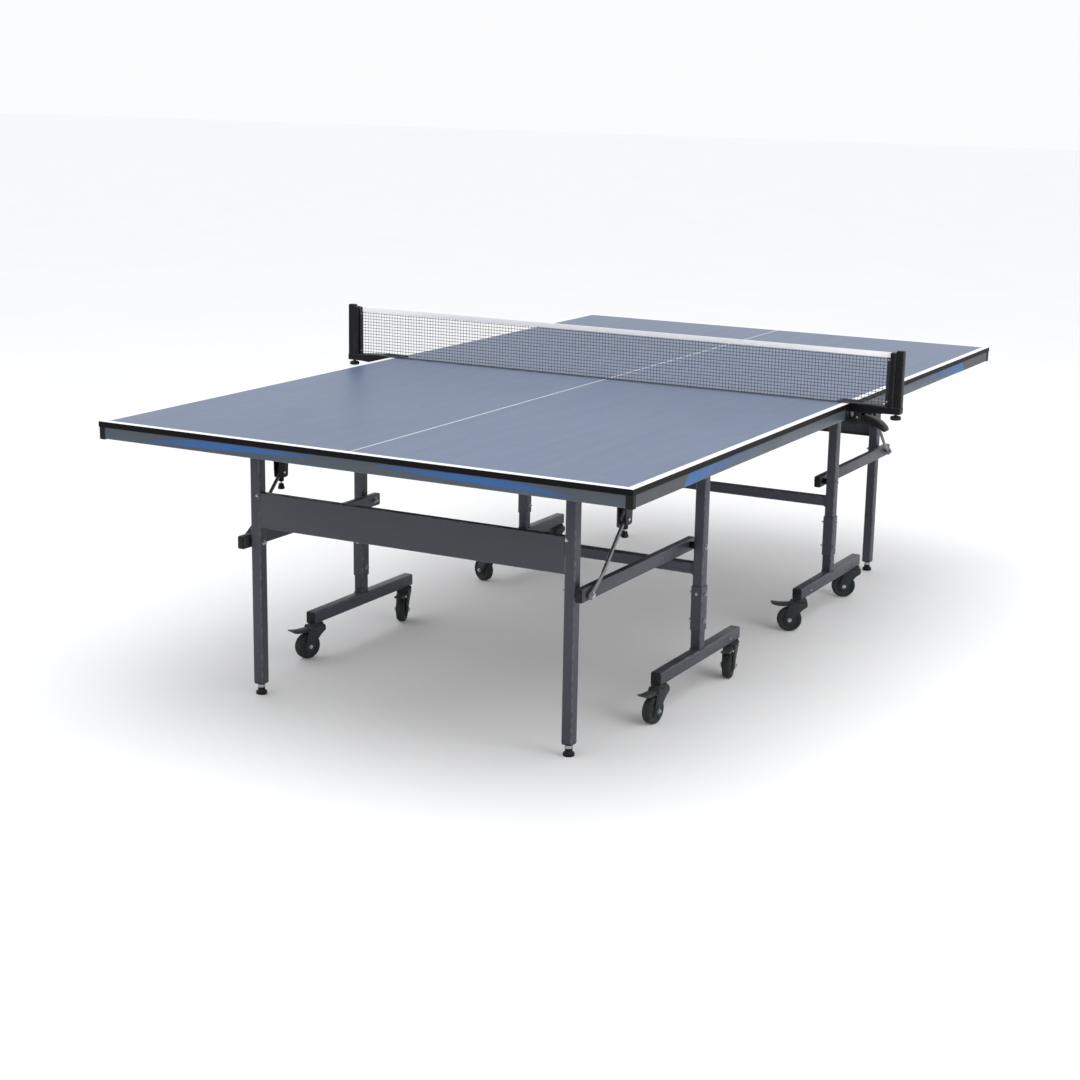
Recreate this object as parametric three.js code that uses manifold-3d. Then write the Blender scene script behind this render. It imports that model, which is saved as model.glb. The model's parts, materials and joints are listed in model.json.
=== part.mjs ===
// A folding, rolling table-tennis table with its net, in millimetres, +Z up.
// The origin is on the floor under the middle of the net. X runs along the table, Y across it.
// The near half lies on the -X side and the far half, its mirror image, on the +X side.
import * as THREE from 'three';
import { mergeVertices } from 'three/addons/utils/BufferGeometryUtils.js';
import Module from 'manifold-3d';

const wasm = await Module();
wasm.setup();

// ---- driving dimensions ----
const TABLE_LENGTH = 2740;
const TABLE_WIDTH = 1525;
const TABLE_HEIGHT = 760;
const TOP_THICKNESS = 15;
const HALVES_GAP = 6;
const TOUCH_GAP = 0.3;
const SMALL_CUT = 1;

const APRON_HEIGHT = 30;
const APRON_INSET = 2;
const APRON_WALL = 2.5;
const APRON_FLANGE = 20;
const RAIL_WIDTH = 30;
const RAIL_SETBACK = 0.4;

const TUBE = 30;
const TUBE_WALL = 1.8;
const POST_X = 495;
const POST_Y = 545;
const LEG_X = 1090;
const LEG_Y = 470;
const PIVOT_Z = 690;
const TUBE_TOP_ABOVE_PIVOT = 15;

const SLEEVE_SIZE = 35;
const SLEEVE_LOW = 190;
const SLEEVE_HIGH = 315;
const FOOT_LENGTH = 520;
const FOOT_HEIGHT = 35;
const FOOT_LOW = 103;
const CROSS_BAR_Z = 361;

const LINK_Z = 422;
const LINK_Y = 505;
const LINK_WIDTH = 20;
const LINK_HEIGHT = 35;
const LINK_TAIL = 27;
const LINK_HEAD = 34;
const LINK_BOSS_RADIUS = 9;

const ROD_RADIUS = 5;
const ROD_Y = 523;
const ROD_PIVOT_X = 1090;
const ROD_PIVOT_Z = 420;
const ROD_EYE_RADIUS = 12;
const ROD_EYE_WIDTH = 8;
const ROD_BEND = [51, 34];
// how far along the two straight parts the bend begins and ends
const ROD_BEND_START = 0.75;
const ROD_BEND_END = 0.06;
const ROD_STRAIGHT = 204;
const ROD_SLOPE_DEG = 45;

const PANEL_LOW = 465;
const PANEL_HEIGHT = 95;
const PANEL_DEPTH = 18;
const PANEL_WALL = 2;
const PANEL_SETBACK = 1;

const LUG_WALL = 3;
const LUG_CLEARANCE = 2;
const LUG_LENGTH = 40;
const LUG_BELOW_PIVOT = 14;

const LEG_LOW = 31;
// radius and height up the screw-in foot: pad, neck, lock nut and stud
const LEVELLER_PROFILE = [[0, 0], [13, 0], [14.5, 2], [14.5, 9], [9, 13], [9, 20], [11, 20], [11, 28],
  [4, 28], [4, 55], [0, 55]];

const CASTER_SPAN = 470;
const CASTER_TRAIL = 28;
const WHEEL_RADIUS = 37.5;
// radius and distance from the wheel's middle, over one half of its width and inside its rolling rim
const WHEEL_PROFILE = [[34, 11.5], [29, 11.5], [27, 9], [17, 9], [14, 12], [5, 12]];
const WHEEL_FLAT = 4;
const AXLE_RADIUS = 4.5;
const AXLE_PROUD = 2;
const AXLE_HEAD_RADIUS = 7;
const AXLE_HEAD_HEIGHT = 3;
const CHEEK_WALL = 3;
const CHEEK_GAP = 14;
const CHEEK_LOBE_RADIUS = 14.3;
const CHEEK_LOBE_DEG = [155, 369];
// the rest of a cheek's side view, from the lobe's front up to the crown and back down
const CHEEK_FRONT = [[14, 74], [25, 82], [25, 92], [18, 96]];
const CHEEK_BACK = [[-26, 96], [-41, 43.5]];
const CROWN_LENGTH = 40;
const CROWN_LOW = 89;
const CROWN_HIGH = 95.5;
const RACEWAY_LOW = 93;
const RACEWAY_RADII = [23, 19];
const FORK_TOP = 102.6;
const PEDAL_PIVOT = [-18, 86];
const PEDAL_PIN_RADIUS = 3;
const PIN_CLEARANCE = 0.4;
const PEDAL_SIDE_GAP = 1;
// the pedal's side view
const PEDAL_OUTLINE = [[-14, 82], [-14, 89], [-22, 90], [-58, 86], [-72, 88], [-84, 95], [-86, 93],
  [-76, 82], [-60, 79.5], [-30, 79.5]];
// the room cut in the crown for the pedal's hinge
const PEDAL_ROOM_X = [-34, -10];
const PEDAL_ROOM_Z = [78, 91];

const NET_HEIGHT = 152.5;
const NET_OVERHANG = 152.5;
const NET_THICKNESS = 2;
const NET_FOOT_GAP = 1;
const NET_POST_INNER_Y = 877;
const NET_POST_DEPTH = 28;
const NET_MAST_INNER_Y = 893;
const NET_MAST_DEPTH = 22;
const NET_POST_RISE = 6;
const CLAMP_WIDTH = 42;
const CLAMP_SETBACK = 0.5;
const CLAMP_INNER_Y = 722;
const CLAMP_SHOULDER = 40;
const CLAMP_PLATE = 4;
const CLAMP_ARM_HEIGHT = 24;
const CLAMP_ARM_TIP_HEIGHT = 18;
const CLAMP_ARM_STEP_Y = 862;
const LEVER_WIDTH = 34;
const LEVER_PIVOT_Y = 786;
const LEVER_PIVOT_Z = 722;
const HANGER_REACH = 11;
const HANGER_DROP = 9;
const HANGER_ROOF = 4;
const LEVER_TOE = [738, 763];
// the rest of the lever's end view, over its pivot, out to its tail and back under
const LEVER_OUTLINE = [[770, 722], [776, 728], [798, 728], [826, 723], [846, 713], [860, 701], [869, 690],
  [866, 686], [850, 694], [828, 702], [800, 704], [770, 700], [744, 704]];
const KNOB_Y = 899;
const KNOB_HEIGHT = 16;
// radius and height up the adjusting knob: grip and spindle
const KNOB_PROFILE = [[0, 0], [12, 0], [15, 3], [15, 8], [11, 11], [5, 12], [5, 16], [0, 16]];

const ROUND_SIDES = 16;
const PIN_SIDES = 12;
const HEAD_SIDES = 6;
const WHEEL_SIDES = 24;
const OUTLINE_STEPS = 4;
const ROD_STEPS = 14;
const ROD_SIDES = 8;

// ---- finishes ----
function finish(color, roughness, metalness) {
  return new THREE.MeshStandardMaterial({ color, roughness, metalness });
}
const BLUE_TOP = finish(0x35506f, 0.35, 0.0);
const GREY_STEEL = finish(0x3f434d, 0.5, 0.4);
const APRON_GREY = finish(0x434a54, 0.45, 0.4);
const ROD_STEEL = finish(0x63666d, 0.4, 0.7);
const CASTER_BLACK = finish(0x1d2021, 0.6, 0.0);
const TYRE_BLACK = finish(0x151617, 0.8, 0.0);
const PLASTIC_BLACK = finish(0x17171a, 0.55, 0.0);
const NET_BLACK = finish(0x26282c, 0.9, 0.0);

// ---- solids ----
function solidOf(geometry) {
  const bare = geometry.clone();
  bare.deleteAttribute('normal');
  bare.deleteAttribute('uv');
  const welded = mergeVertices(bare);
  const mesh = new wasm.Mesh({
    numProp: 3,
    vertProperties: new Float32Array(welded.attributes.position.array),
    triVerts: new Uint32Array(welded.index.array),
  });
  return new wasm.Manifold(mesh);
}

function geometryOf(solid) {
  const mesh = solid.getMesh();
  const geometry = new THREE.BufferGeometry();
  geometry.setAttribute('position', new THREE.BufferAttribute(new Float32Array(mesh.vertProperties), 3));
  geometry.setIndex(new THREE.BufferAttribute(new Uint32Array(mesh.triVerts), 1));
  geometry.computeVertexNormals();
  return geometry;
}

// a solid box between two corners, given as low and high along each axis
function block([x0, x1], [y0, y1], [z0, z1]) {
  const geometry = new THREE.BoxGeometry(x1 - x0, y1 - y0, z1 - z0);
  geometry.translate((x0 + x1) / 2, (y0 + y1) / 2, (z0 + z1) / 2);
  return solidOf(geometry);
}

// a cylinder from y0 to y1 whose axis is parallel to Y
function rodAcross(radius, [y0, y1], x, z, sides = ROUND_SIDES) {
  const geometry = new THREE.CylinderGeometry(radius, radius, y1 - y0, sides);
  geometry.translate(x, (y0 + y1) / 2, z);
  return solidOf(geometry);
}

// an outline in X and Z, carried along Y from y0 to y1
function outlineAcross(shape, [y0, y1]) {
  const geometry = new THREE.ExtrudeGeometry(shape,
    { depth: y1 - y0, bevelEnabled: false, curveSegments: OUTLINE_STEPS });
  geometry.rotateX(Math.PI / 2);
  geometry.translate(0, y1, 0);
  return solidOf(geometry);
}

function polygon(points) {
  return new THREE.Shape(points.map(([u, v]) => new THREE.Vector2(u, v)));
}

// low and high of a span, given its middle and its width
function about(middle, width) {
  return [middle - width / 2, middle + width / 2];
}

// the same span with both ends drawn in, or let out where the amount is negative
function inset([low, high], amount) {
  return [low + amount, high - amount];
}

function joined(first, ...others) {
  return others.reduce((whole, next) => whole.add(next), first);
}

const table = new THREE.Group();

function place(group, name, geometry, material) {
  const mesh = new THREE.Mesh(geometry, material);
  mesh.name = name;
  group.add(mesh);
  return mesh;
}

// ---- levels worked out from the driving dimensions ----
const HALF_LENGTH = TABLE_LENGTH / 2;
const HALF_WIDTH = TABLE_WIDTH / 2;
const TOP_LOW = TABLE_HEIGHT - TOP_THICKNESS;
const APRON_TOP = TOP_LOW - TOUCH_GAP;
const APRON_LOW = APRON_TOP - APRON_HEIGHT;
const TUBE_TOP = PIVOT_Z + TUBE_TOP_ABOVE_PIVOT;
const LEG_OUTER_Y = LEG_Y + TUBE / 2;
const POST_INNER_Y = POST_Y - TUBE / 2;
const LINK_OUTER_Y = LINK_Y + LINK_WIDTH / 2;
const LINK_INNER_Y = LINK_Y - LINK_WIDTH / 2;

// mirror a span about zero, for the side or the half that lies on the negative side
function toSide([low, high], side) {
  return side > 0 ? [low, high] : [-high, -low];
}

// ---- one half of the playing surface and its steel frame ----
function tabletop(half) {
  const geometry = new THREE.BoxGeometry(HALF_LENGTH - HALVES_GAP / 2, TABLE_WIDTH, TOP_THICKNESS);
  geometry.translate(half * (HALF_LENGTH + HALVES_GAP / 2) / 2, 0, TOP_LOW + TOP_THICKNESS / 2);
  return geometry;
}

// a channel that opens downwards and runs across the table
function crossRail(x) {
  const span = [-HALF_WIDTH + APRON_INSET + SMALL_CUT, HALF_WIDTH - APRON_INSET - SMALL_CUT];
  const outer = block(about(x, RAIL_WIDTH), span, inset([APRON_LOW, APRON_TOP], RAIL_SETBACK));
  const hollow = block(about(x, RAIL_WIDTH - 2 * APRON_WALL), inset(span, -SMALL_CUT),
    [APRON_LOW - SMALL_CUT, APRON_TOP - APRON_WALL - RAIL_SETBACK]);
  return outer.subtract(hollow);
}

// two plates that hang from a cross rail, one on each side of the tube that pivots between them
function lugPair(x, y) {
  const reach = TUBE / 2 + LUG_CLEARANCE;
  const height = [PIVOT_Z - LUG_BELOW_PIVOT, APRON_TOP - SMALL_CUT];
  const inner = block(about(x, LUG_LENGTH), [y - reach - LUG_WALL, y - reach], height);
  const outer = block(about(x, LUG_LENGTH), [y + reach, y + reach + LUG_WALL], height);
  return joined(inner, outer);
}

function apron(half) {
  const length = toSide([HALVES_GAP / 2 + APRON_INSET, HALF_LENGTH - APRON_INSET], half);
  const width = [-HALF_WIDTH + APRON_INSET, HALF_WIDTH - APRON_INSET];
  const outer = block(length, width, [APRON_LOW, APRON_TOP]);
  const inside = block(inset(length, APRON_WALL), inset(width, APRON_WALL),
    [APRON_LOW + APRON_WALL, APRON_TOP + SMALL_CUT]);
  const mouth = block(inset(length, APRON_FLANGE), inset(width, APRON_FLANGE),
    [APRON_LOW - SMALL_CUT, APRON_LOW + APRON_WALL + SMALL_CUT]);
  let frame = outer.subtract(inside).subtract(mouth);
  for (const x of [POST_X, LEG_X]) frame = frame.add(crossRail(half * x));
  for (const side of [-1, 1]) {
    frame = frame.add(lugPair(half * POST_X, side * POST_Y));
    frame = frame.add(lugPair(half * LEG_X, side * LEG_Y));
  }
  return geometryOf(frame);
}

// ---- the folding end legs ----
function squareTube(length) {
  const half = TUBE / 2;
  const bore = half - TUBE_WALL;
  const shape = polygon([[-half, -half], [half, -half], [half, half], [-half, half]]);
  shape.holes.push(new THREE.Path(
    [[-bore, -bore], [-bore, bore], [bore, bore], [bore, -bore]].map(([u, v]) => new THREE.Vector2(u, v))));
  return new THREE.ExtrudeGeometry(shape, { depth: length, bevelEnabled: false });
}

function endLeg() {
  return squareTube(TUBE_TOP - LEG_LOW);
}

// a shallow channel that faces outwards
function endPanel(half) {
  const outerFace = half * (LEG_X + TUBE / 2 - PANEL_SETBACK);
  const innerFace = outerFace - half * PANEL_DEPTH;
  const webFace = outerFace - half * PANEL_WALL;
  const spanY = inset([-LEG_Y + TUBE / 2, LEG_Y - TUBE / 2], TOUCH_GAP);
  const height = [PANEL_LOW, PANEL_LOW + PANEL_HEIGHT];
  const outer = block([Math.min(outerFace, innerFace), Math.max(outerFace, innerFace)], spanY, height);
  const hollow = block([Math.min(webFace, innerFace - half), Math.max(webFace, innerFace - half)],
    inset(spanY, -SMALL_CUT), inset(height, PANEL_WALL));
  return geometryOf(outer.subtract(hollow));
}

// a profile of radius and height, turned about Z
function turnedUpright(profile) {
  const geometry = new THREE.LatheGeometry(profile.map(([r, z]) => new THREE.Vector2(r, z)), ROUND_SIDES);
  geometry.rotateX(Math.PI / 2);
  return geometry;
}

// ---- the trolley that carries one half on casters ----
function trolleyFoot(half, side) {
  const x = half * POST_X;
  const y = side * POST_Y;
  const footTop = FOOT_LOW + FOOT_HEIGHT;
  const length = about(x, FOOT_LENGTH);
  const bar = block(length, about(y, TUBE), [FOOT_LOW, footTop]);
  const barHollow = block(inset(length, -SMALL_CUT), about(y, TUBE - 2 * TUBE_WALL),
    inset([FOOT_LOW, footTop], TUBE_WALL));
  const post = block(about(x, TUBE), about(y, TUBE), [footTop - SMALL_CUT, TUBE_TOP]);
  const sleeve = block(about(x, SLEEVE_SIZE), about(y, SLEEVE_SIZE), [SLEEVE_LOW, SLEEVE_HIGH]);
  const postHollow = block(about(x, TUBE - 2 * TUBE_WALL), about(y, TUBE - 2 * TUBE_WALL),
    [footTop + TUBE_WALL, TUBE_TOP + SMALL_CUT]);
  return geometryOf(joined(bar.subtract(barHollow), post, sleeve).subtract(postHollow));
}

function crossBar() {
  const geometry = squareTube(2 * (POST_INNER_Y - TOUCH_GAP));
  geometry.translate(0, 0, -(POST_INNER_Y - TOUCH_GAP));
  geometry.rotateX(Math.PI / 2);
  return geometry;
}

// ---- the parallel links and their safety rods ----
function linkBar(half, side) {
  const length = toSide([POST_X - LINK_TAIL, LEG_X + LINK_HEAD], half);
  const width = about(side * LINK_Y, LINK_WIDTH);
  const height = about(LINK_Z, LINK_HEIGHT);
  const bar = block(length, width, height);
  const hollow = block(inset(length, -SMALL_CUT), inset(width, TUBE_WALL), inset(height, TUBE_WALL));
  const postBoss = rodAcross(LINK_BOSS_RADIUS,
    toSide([LINK_OUTER_Y - TUBE_WALL / 2, POST_INNER_Y - TOUCH_GAP], side), half * POST_X, LINK_Z);
  const legBoss = rodAcross(LINK_BOSS_RADIUS,
    toSide([LEG_OUTER_Y + TOUCH_GAP, LINK_INNER_Y + TUBE_WALL / 2], side), half * LEG_X, LINK_Z);
  return geometryOf(joined(bar.subtract(hollow), postBoss, legBoss));
}

// from the eye the rod bends once and then runs straight up towards the net
function safetyRod(half, side) {
  const slope = THREE.MathUtils.degToRad(ROD_SLOPE_DEG);
  const y = side * ROD_Y;
  const start = new THREE.Vector3(half * ROD_PIVOT_X, y, ROD_PIVOT_Z);
  const bend = start.clone().add(new THREE.Vector3(-half * ROD_BEND[0], 0, ROD_BEND[1]));
  const end = bend.clone().add(new THREE.Vector3(
    -half * ROD_STRAIGHT * Math.cos(slope), 0, ROD_STRAIGHT * Math.sin(slope)));
  const beforeBend = start.clone().lerp(bend, ROD_BEND_START);
  const afterBend = bend.clone().lerp(end, ROD_BEND_END);
  const path = new THREE.CurvePath();
  path.add(new THREE.LineCurve3(start, beforeBend));
  path.add(new THREE.QuadraticBezierCurve3(beforeBend, bend, afterBend));
  path.add(new THREE.LineCurve3(afterBend, end));
  const section = new THREE.Shape().absarc(0, 0, ROD_RADIUS, 0, 2 * Math.PI);
  const wire = solidOf(new THREE.ExtrudeGeometry(section,
    { steps: ROD_STEPS, extrudePath: path, curveSegments: ROD_SIDES / 2 }));
  const eye = rodAcross(ROD_EYE_RADIUS, toSide(about(ROD_Y, ROD_EYE_WIDTH), side), start.x, start.z);
  return geometryOf(joined(wire, eye));
}

// ---- casters, drawn with the swivel axis on Z and the wheel trailing towards -X ----
// the rim's flats, not its corners, lie at the wheel's radius, so that a flat rests on the floor
function wheel() {
  const rim = WHEEL_RADIUS / Math.cos(Math.PI / WHEEL_SIDES);
  const upper = [[rim, WHEEL_FLAT], ...WHEEL_PROFILE];
  const lower = upper.map(([r, w]) => [r, -w]).reverse();
  const profile = [...lower, ...upper, lower[0]];
  const turned = new THREE.LatheGeometry(profile.map(([r, w]) => new THREE.Vector2(r, w)), WHEEL_SIDES);
  turned.rotateY(Math.PI / WHEEL_SIDES);
  return turned;
}

function cheekOutline() {
  const shape = new THREE.Shape();
  const [start, end] = CHEEK_LOBE_DEG.map(THREE.MathUtils.degToRad);
  shape.moveTo(...CHEEK_BACK[0]);
  shape.lineTo(...CHEEK_BACK[1]);
  shape.absarc(-CASTER_TRAIL, WHEEL_RADIUS, CHEEK_LOBE_RADIUS, start, end, false);
  for (const point of CHEEK_FRONT) shape.lineTo(...point);
  return shape;
}

function fork() {
  const cheek = [CHEEK_GAP, CHEEK_GAP + CHEEK_WALL];
  const outside = cheek[1];
  const left = outlineAcross(cheekOutline(), cheek);
  const right = outlineAcross(cheekOutline(), toSide(cheek, -1));
  const crown = block(about(0, CROWN_LENGTH), inset([-outside, outside], TOUCH_GAP), [CROWN_LOW, CROWN_HIGH]);
  const [racewayLower, racewayUpper] = RACEWAY_RADII;
  const raceway = new THREE.CylinderGeometry(racewayUpper, racewayLower, FORK_TOP - RACEWAY_LOW, ROUND_SIDES);
  raceway.rotateX(Math.PI / 2);
  raceway.translate(0, 0, (FORK_TOP + RACEWAY_LOW) / 2);
  const axleEnd = outside + AXLE_PROUD;
  const axle = rodAcross(AXLE_RADIUS, [-axleEnd, axleEnd], -CASTER_TRAIL, WHEEL_RADIUS, PIN_SIDES);
  const head = [outside - SMALL_CUT, outside + AXLE_HEAD_HEIGHT];
  const headLeft = rodAcross(AXLE_HEAD_RADIUS, head, -CASTER_TRAIL, WHEEL_RADIUS, HEAD_SIDES);
  const headRight = rodAcross(AXLE_HEAD_RADIUS, toSide(head, -1), -CASTER_TRAIL, WHEEL_RADIUS, HEAD_SIDES);
  const pinHole = rodAcross(PEDAL_PIN_RADIUS + PIN_CLEARANCE, inset([-outside, outside], -2 * SMALL_CUT),
    PEDAL_PIVOT[0], PEDAL_PIVOT[1], PIN_SIDES);
  const pedalRoom = block(PEDAL_ROOM_X, [-CHEEK_GAP, CHEEK_GAP], PEDAL_ROOM_Z);
  return geometryOf(joined(left, right, crown, solidOf(raceway), axle, headLeft, headRight)
    .subtract(pinHole)
    .subtract(pedalRoom));
}

function pedal() {
  const lever = outlineAcross(polygon(PEDAL_OUTLINE), inset([-CHEEK_GAP, CHEEK_GAP], PEDAL_SIDE_GAP));
  const pinEnd = CHEEK_GAP + CHEEK_WALL + PEDAL_SIDE_GAP;
  const pin = rodAcross(PEDAL_PIN_RADIUS, [-pinEnd, pinEnd], PEDAL_PIVOT[0], PEDAL_PIVOT[1], PIN_SIDES);
  return geometryOf(joined(lever, pin));
}

const FORK = fork();
const WHEEL = wheel();
const PEDAL = pedal();

// heading is the compass direction, in degrees from +X, in which the wheel trails
function caster(name, x, y, heading) {
  const group = new THREE.Group();
  group.position.set(x, y, 0);
  group.rotation.z = THREE.MathUtils.degToRad(heading - 180);
  place(group, `${name}_fork`, FORK, CASTER_BLACK);
  const tyre = place(group, `${name}_wheel`, WHEEL, TYRE_BLACK);
  tyre.position.set(-CASTER_TRAIL, 0, WHEEL_RADIUS);
  place(group, `${name}_pedal`, PEDAL, CASTER_BLACK);
  table.add(group);
}

// headings of the inner and outer casters of each trolley foot
const HEADINGS = {
  near_left: { inner: 200, outer: 157 },
  near_right: { inner: 192, outer: 172 },
  far_left: { inner: 70, outer: 170 },
  far_right: { inner: 115, outer: 118 },
};

// ---- the two halves ----
function buildHalf(prefix, half) {
  place(table, `${prefix}_tabletop`, tabletop(half), BLUE_TOP);
  place(table, `${prefix}_apron`, apron(half), APRON_GREY);
  place(table, `${prefix}_end_panel`, endPanel(half), GREY_STEEL);
  place(table, `${prefix}_cross_bar`, crossBar(), GREY_STEEL).position.set(half * POST_X, 0, CROSS_BAR_Z);
  for (const [sideName, side] of [['left', 1], ['right', -1]]) {
    const leg = place(table, `${prefix}_leg_${sideName}`, endLeg(), GREY_STEEL);
    leg.position.set(half * LEG_X, side * LEG_Y, LEG_LOW);
    const foot = place(table, `${prefix}_leveller_${sideName}`, turnedUpright(LEVELLER_PROFILE), PLASTIC_BLACK);
    foot.position.set(half * LEG_X, side * LEG_Y, 0);
    place(table, `${prefix}_foot_${sideName}`, trolleyFoot(half, side), GREY_STEEL);
    place(table, `${prefix}_link_${sideName}`, linkBar(half, side), GREY_STEEL);
    place(table, `${prefix}_rod_${sideName}`, safetyRod(half, side), ROD_STEEL);
    const headings = HEADINGS[`${prefix}_${sideName}`];
    for (const [end, direction] of [['inner', -1], ['outer', 1]]) {
      caster(`${prefix}_${sideName}_${end}`, half * (POST_X + direction * CASTER_SPAN / 2),
        side * POST_Y, headings[end]);
    }
  }
}

// ---- the net, its clamps and posts ----
function netCloth() {
  const geometry = new THREE.BoxGeometry(NET_THICKNESS, 2 * (NET_POST_INNER_Y - TOUCH_GAP),
    NET_HEIGHT - NET_FOOT_GAP);
  geometry.translate(0, 0, TABLE_HEIGHT + (NET_HEIGHT + NET_FOOT_GAP) / 2);
  return geometry;
}

const CLAMP_X = [HALVES_GAP / 2 + CLAMP_SETBACK, HALVES_GAP / 2 + CLAMP_SETBACK + CLAMP_WIDTH];
const CLAMP_MIDDLE_X = (CLAMP_X[0] + CLAMP_X[1]) / 2;
const CLAMP_PLATE_TOP = TABLE_HEIGHT + TOUCH_GAP + CLAMP_PLATE;
const CLAMP_ARM_LOW = TABLE_HEIGHT - CLAMP_ARM_HEIGHT;
const CLAMP_ARM_TIP_LOW = TABLE_HEIGHT - CLAMP_ARM_TIP_HEIGHT;

// the plate over the table edge, the arm that reaches out past it, and the post on the arm's end
function netClamp(side) {
  const armStart = HALF_WIDTH + SMALL_CUT;
  const armEnd = HALF_WIDTH + NET_OVERHANG;
  const shoulderEnd = HALF_WIDTH + CLAMP_SHOULDER;
  const plate = block(CLAMP_X, toSide([CLAMP_INNER_Y, shoulderEnd], side),
    [TABLE_HEIGHT + TOUCH_GAP, CLAMP_PLATE_TOP]);
  const shoulder = block(CLAMP_X, toSide([armStart, shoulderEnd], side),
    [TABLE_HEIGHT - SMALL_CUT, CLAMP_PLATE_TOP]);
  const armX = [-NET_POST_DEPTH / 2, CLAMP_X[1]];
  const arm = block(armX, toSide([armStart, CLAMP_ARM_STEP_Y], side), [CLAMP_ARM_LOW, TABLE_HEIGHT]);
  const tip = block(armX, toSide([CLAMP_ARM_STEP_Y - SMALL_CUT, armEnd], side),
    [CLAMP_ARM_TIP_LOW, TABLE_HEIGHT]);
  const pivotSpan = about(LEVER_PIVOT_Y, 2 * HANGER_REACH);
  const hanger = block(inset(CLAMP_X, SMALL_CUT), toSide(pivotSpan, side),
    [LEVER_PIVOT_Z - HANGER_DROP, CLAMP_ARM_LOW + SMALL_CUT]);
  const hangerSlot = block(about(CLAMP_MIDDLE_X, LEVER_WIDTH + SMALL_CUT),
    toSide(inset(pivotSpan, -HANGER_DROP), side),
    [LEVER_PIVOT_Z - 2 * HANGER_DROP, CLAMP_ARM_LOW - HANGER_ROOF]);
  const post = block(about(0, NET_POST_DEPTH), toSide([NET_POST_INNER_Y, NET_MAST_INNER_Y + SMALL_CUT], side),
    [TABLE_HEIGHT - SMALL_CUT, TABLE_HEIGHT + NET_HEIGHT]);
  const mast = block(about(0, NET_MAST_DEPTH), toSide([NET_MAST_INNER_Y, armEnd], side),
    [TABLE_HEIGHT - SMALL_CUT, TABLE_HEIGHT + NET_HEIGHT + NET_POST_RISE]);
  return geometryOf(joined(plate, shoulder, arm, tip, hanger.subtract(hangerSlot), post, mast));
}

// the sprung lower jaw: its toe presses up under the apron and its tail is squeezed to let go
function clampLever(side) {
  const toeTop = APRON_LOW - TOUCH_GAP;
  const points = [...LEVER_TOE.map((y) => [y, toeTop]), ...LEVER_OUTLINE];
  const outline = polygon(points.map(([y, z]) => [side * y, z]));
  const geometry = new THREE.ExtrudeGeometry(outline, { depth: LEVER_WIDTH, bevelEnabled: false });
  geometry.rotateX(Math.PI / 2);
  geometry.rotateZ(Math.PI / 2);
  geometry.translate(CLAMP_MIDDLE_X - LEVER_WIDTH / 2, 0, 0);
  return geometry;
}

function buildNetSet() {
  place(table, 'net', netCloth(), NET_BLACK);
  for (const [sideName, side] of [['left', 1], ['right', -1]]) {
    place(table, `net_clamp_${sideName}`, netClamp(side), PLASTIC_BLACK);
    place(table, `net_lever_${sideName}`, clampLever(side), PLASTIC_BLACK);
    const knob = place(table, `net_knob_${sideName}`, turnedUpright(KNOB_PROFILE), PLASTIC_BLACK);
    knob.position.set(0, side * KNOB_Y, CLAMP_ARM_TIP_LOW - TOUCH_GAP - KNOB_HEIGHT);
  }
}

buildHalf('near', -1);
buildHalf('far', 1);
buildNetSet();

export default table;
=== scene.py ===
"""A folding, rolling table-tennis table, built round its frame.

Every piece is in metres in the frame's own axes: X along the table, Y across it, Z up from the floor.
Places come from the frame's boxes and joints. Shapes are worked out with numpy as whole arrays.
"""

import json
import math

import bpy
import numpy as np
from bpy.props import FloatProperty, FloatVectorProperty, IntProperty, PointerProperty
from mathutils import Matrix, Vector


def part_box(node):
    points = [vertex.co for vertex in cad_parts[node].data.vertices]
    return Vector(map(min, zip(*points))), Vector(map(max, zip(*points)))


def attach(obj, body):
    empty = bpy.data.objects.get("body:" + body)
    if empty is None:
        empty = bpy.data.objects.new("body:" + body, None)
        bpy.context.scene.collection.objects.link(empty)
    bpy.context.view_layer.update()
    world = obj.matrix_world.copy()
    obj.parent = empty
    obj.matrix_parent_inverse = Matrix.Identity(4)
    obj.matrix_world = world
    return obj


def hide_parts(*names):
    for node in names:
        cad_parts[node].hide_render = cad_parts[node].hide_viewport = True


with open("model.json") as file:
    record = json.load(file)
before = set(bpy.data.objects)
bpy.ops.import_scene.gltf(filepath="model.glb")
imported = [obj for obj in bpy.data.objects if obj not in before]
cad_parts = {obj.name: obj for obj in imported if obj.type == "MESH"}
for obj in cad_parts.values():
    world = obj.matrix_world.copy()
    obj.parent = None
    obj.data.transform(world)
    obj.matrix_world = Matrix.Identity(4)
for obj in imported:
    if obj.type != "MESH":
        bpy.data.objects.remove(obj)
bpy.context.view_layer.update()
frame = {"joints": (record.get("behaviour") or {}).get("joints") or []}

bl_info = {
    "name": "Table Tennis Table",
    "version": (1, 0, 0),
    "blender": (4, 5, 0),
    "location": "View3D > Sidebar > Table",
    "description": "Builds a folding, rolling table-tennis table with its net, piece by piece",
    "category": "Object",
}

MM = 0.001
JOINTS = {joint["name"]: joint for joint in frame["joints"]}
HALVES = {"near": -1, "far": 1}
SIDES = {"left": 1, "right": -1}
# for an axis: the two directions of its cross-section, then the axis itself
PLANES = {"x": (1, 2, 0), "y": (2, 0, 1), "z": (0, 1, 2)}

# ---- how small features are rounded, in metres ----
FINE_EDGE = 0.4 * MM
SOFT_EDGE = 1.0 * MM
BOLT_RADIUS = 4.5 * MM
BOLT_HEAD = 4.0 * MM
WASHER = 1.2 * MM
PLUG_FLANGE = 3.0 * MM


# ======================================================================================
# Sizes and colours that a user may change
# ======================================================================================
def length(name, description, default):
    return FloatProperty(name=name, description=description, default=default, min=0.0,
                         unit="LENGTH", subtype="DISTANCE")


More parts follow.
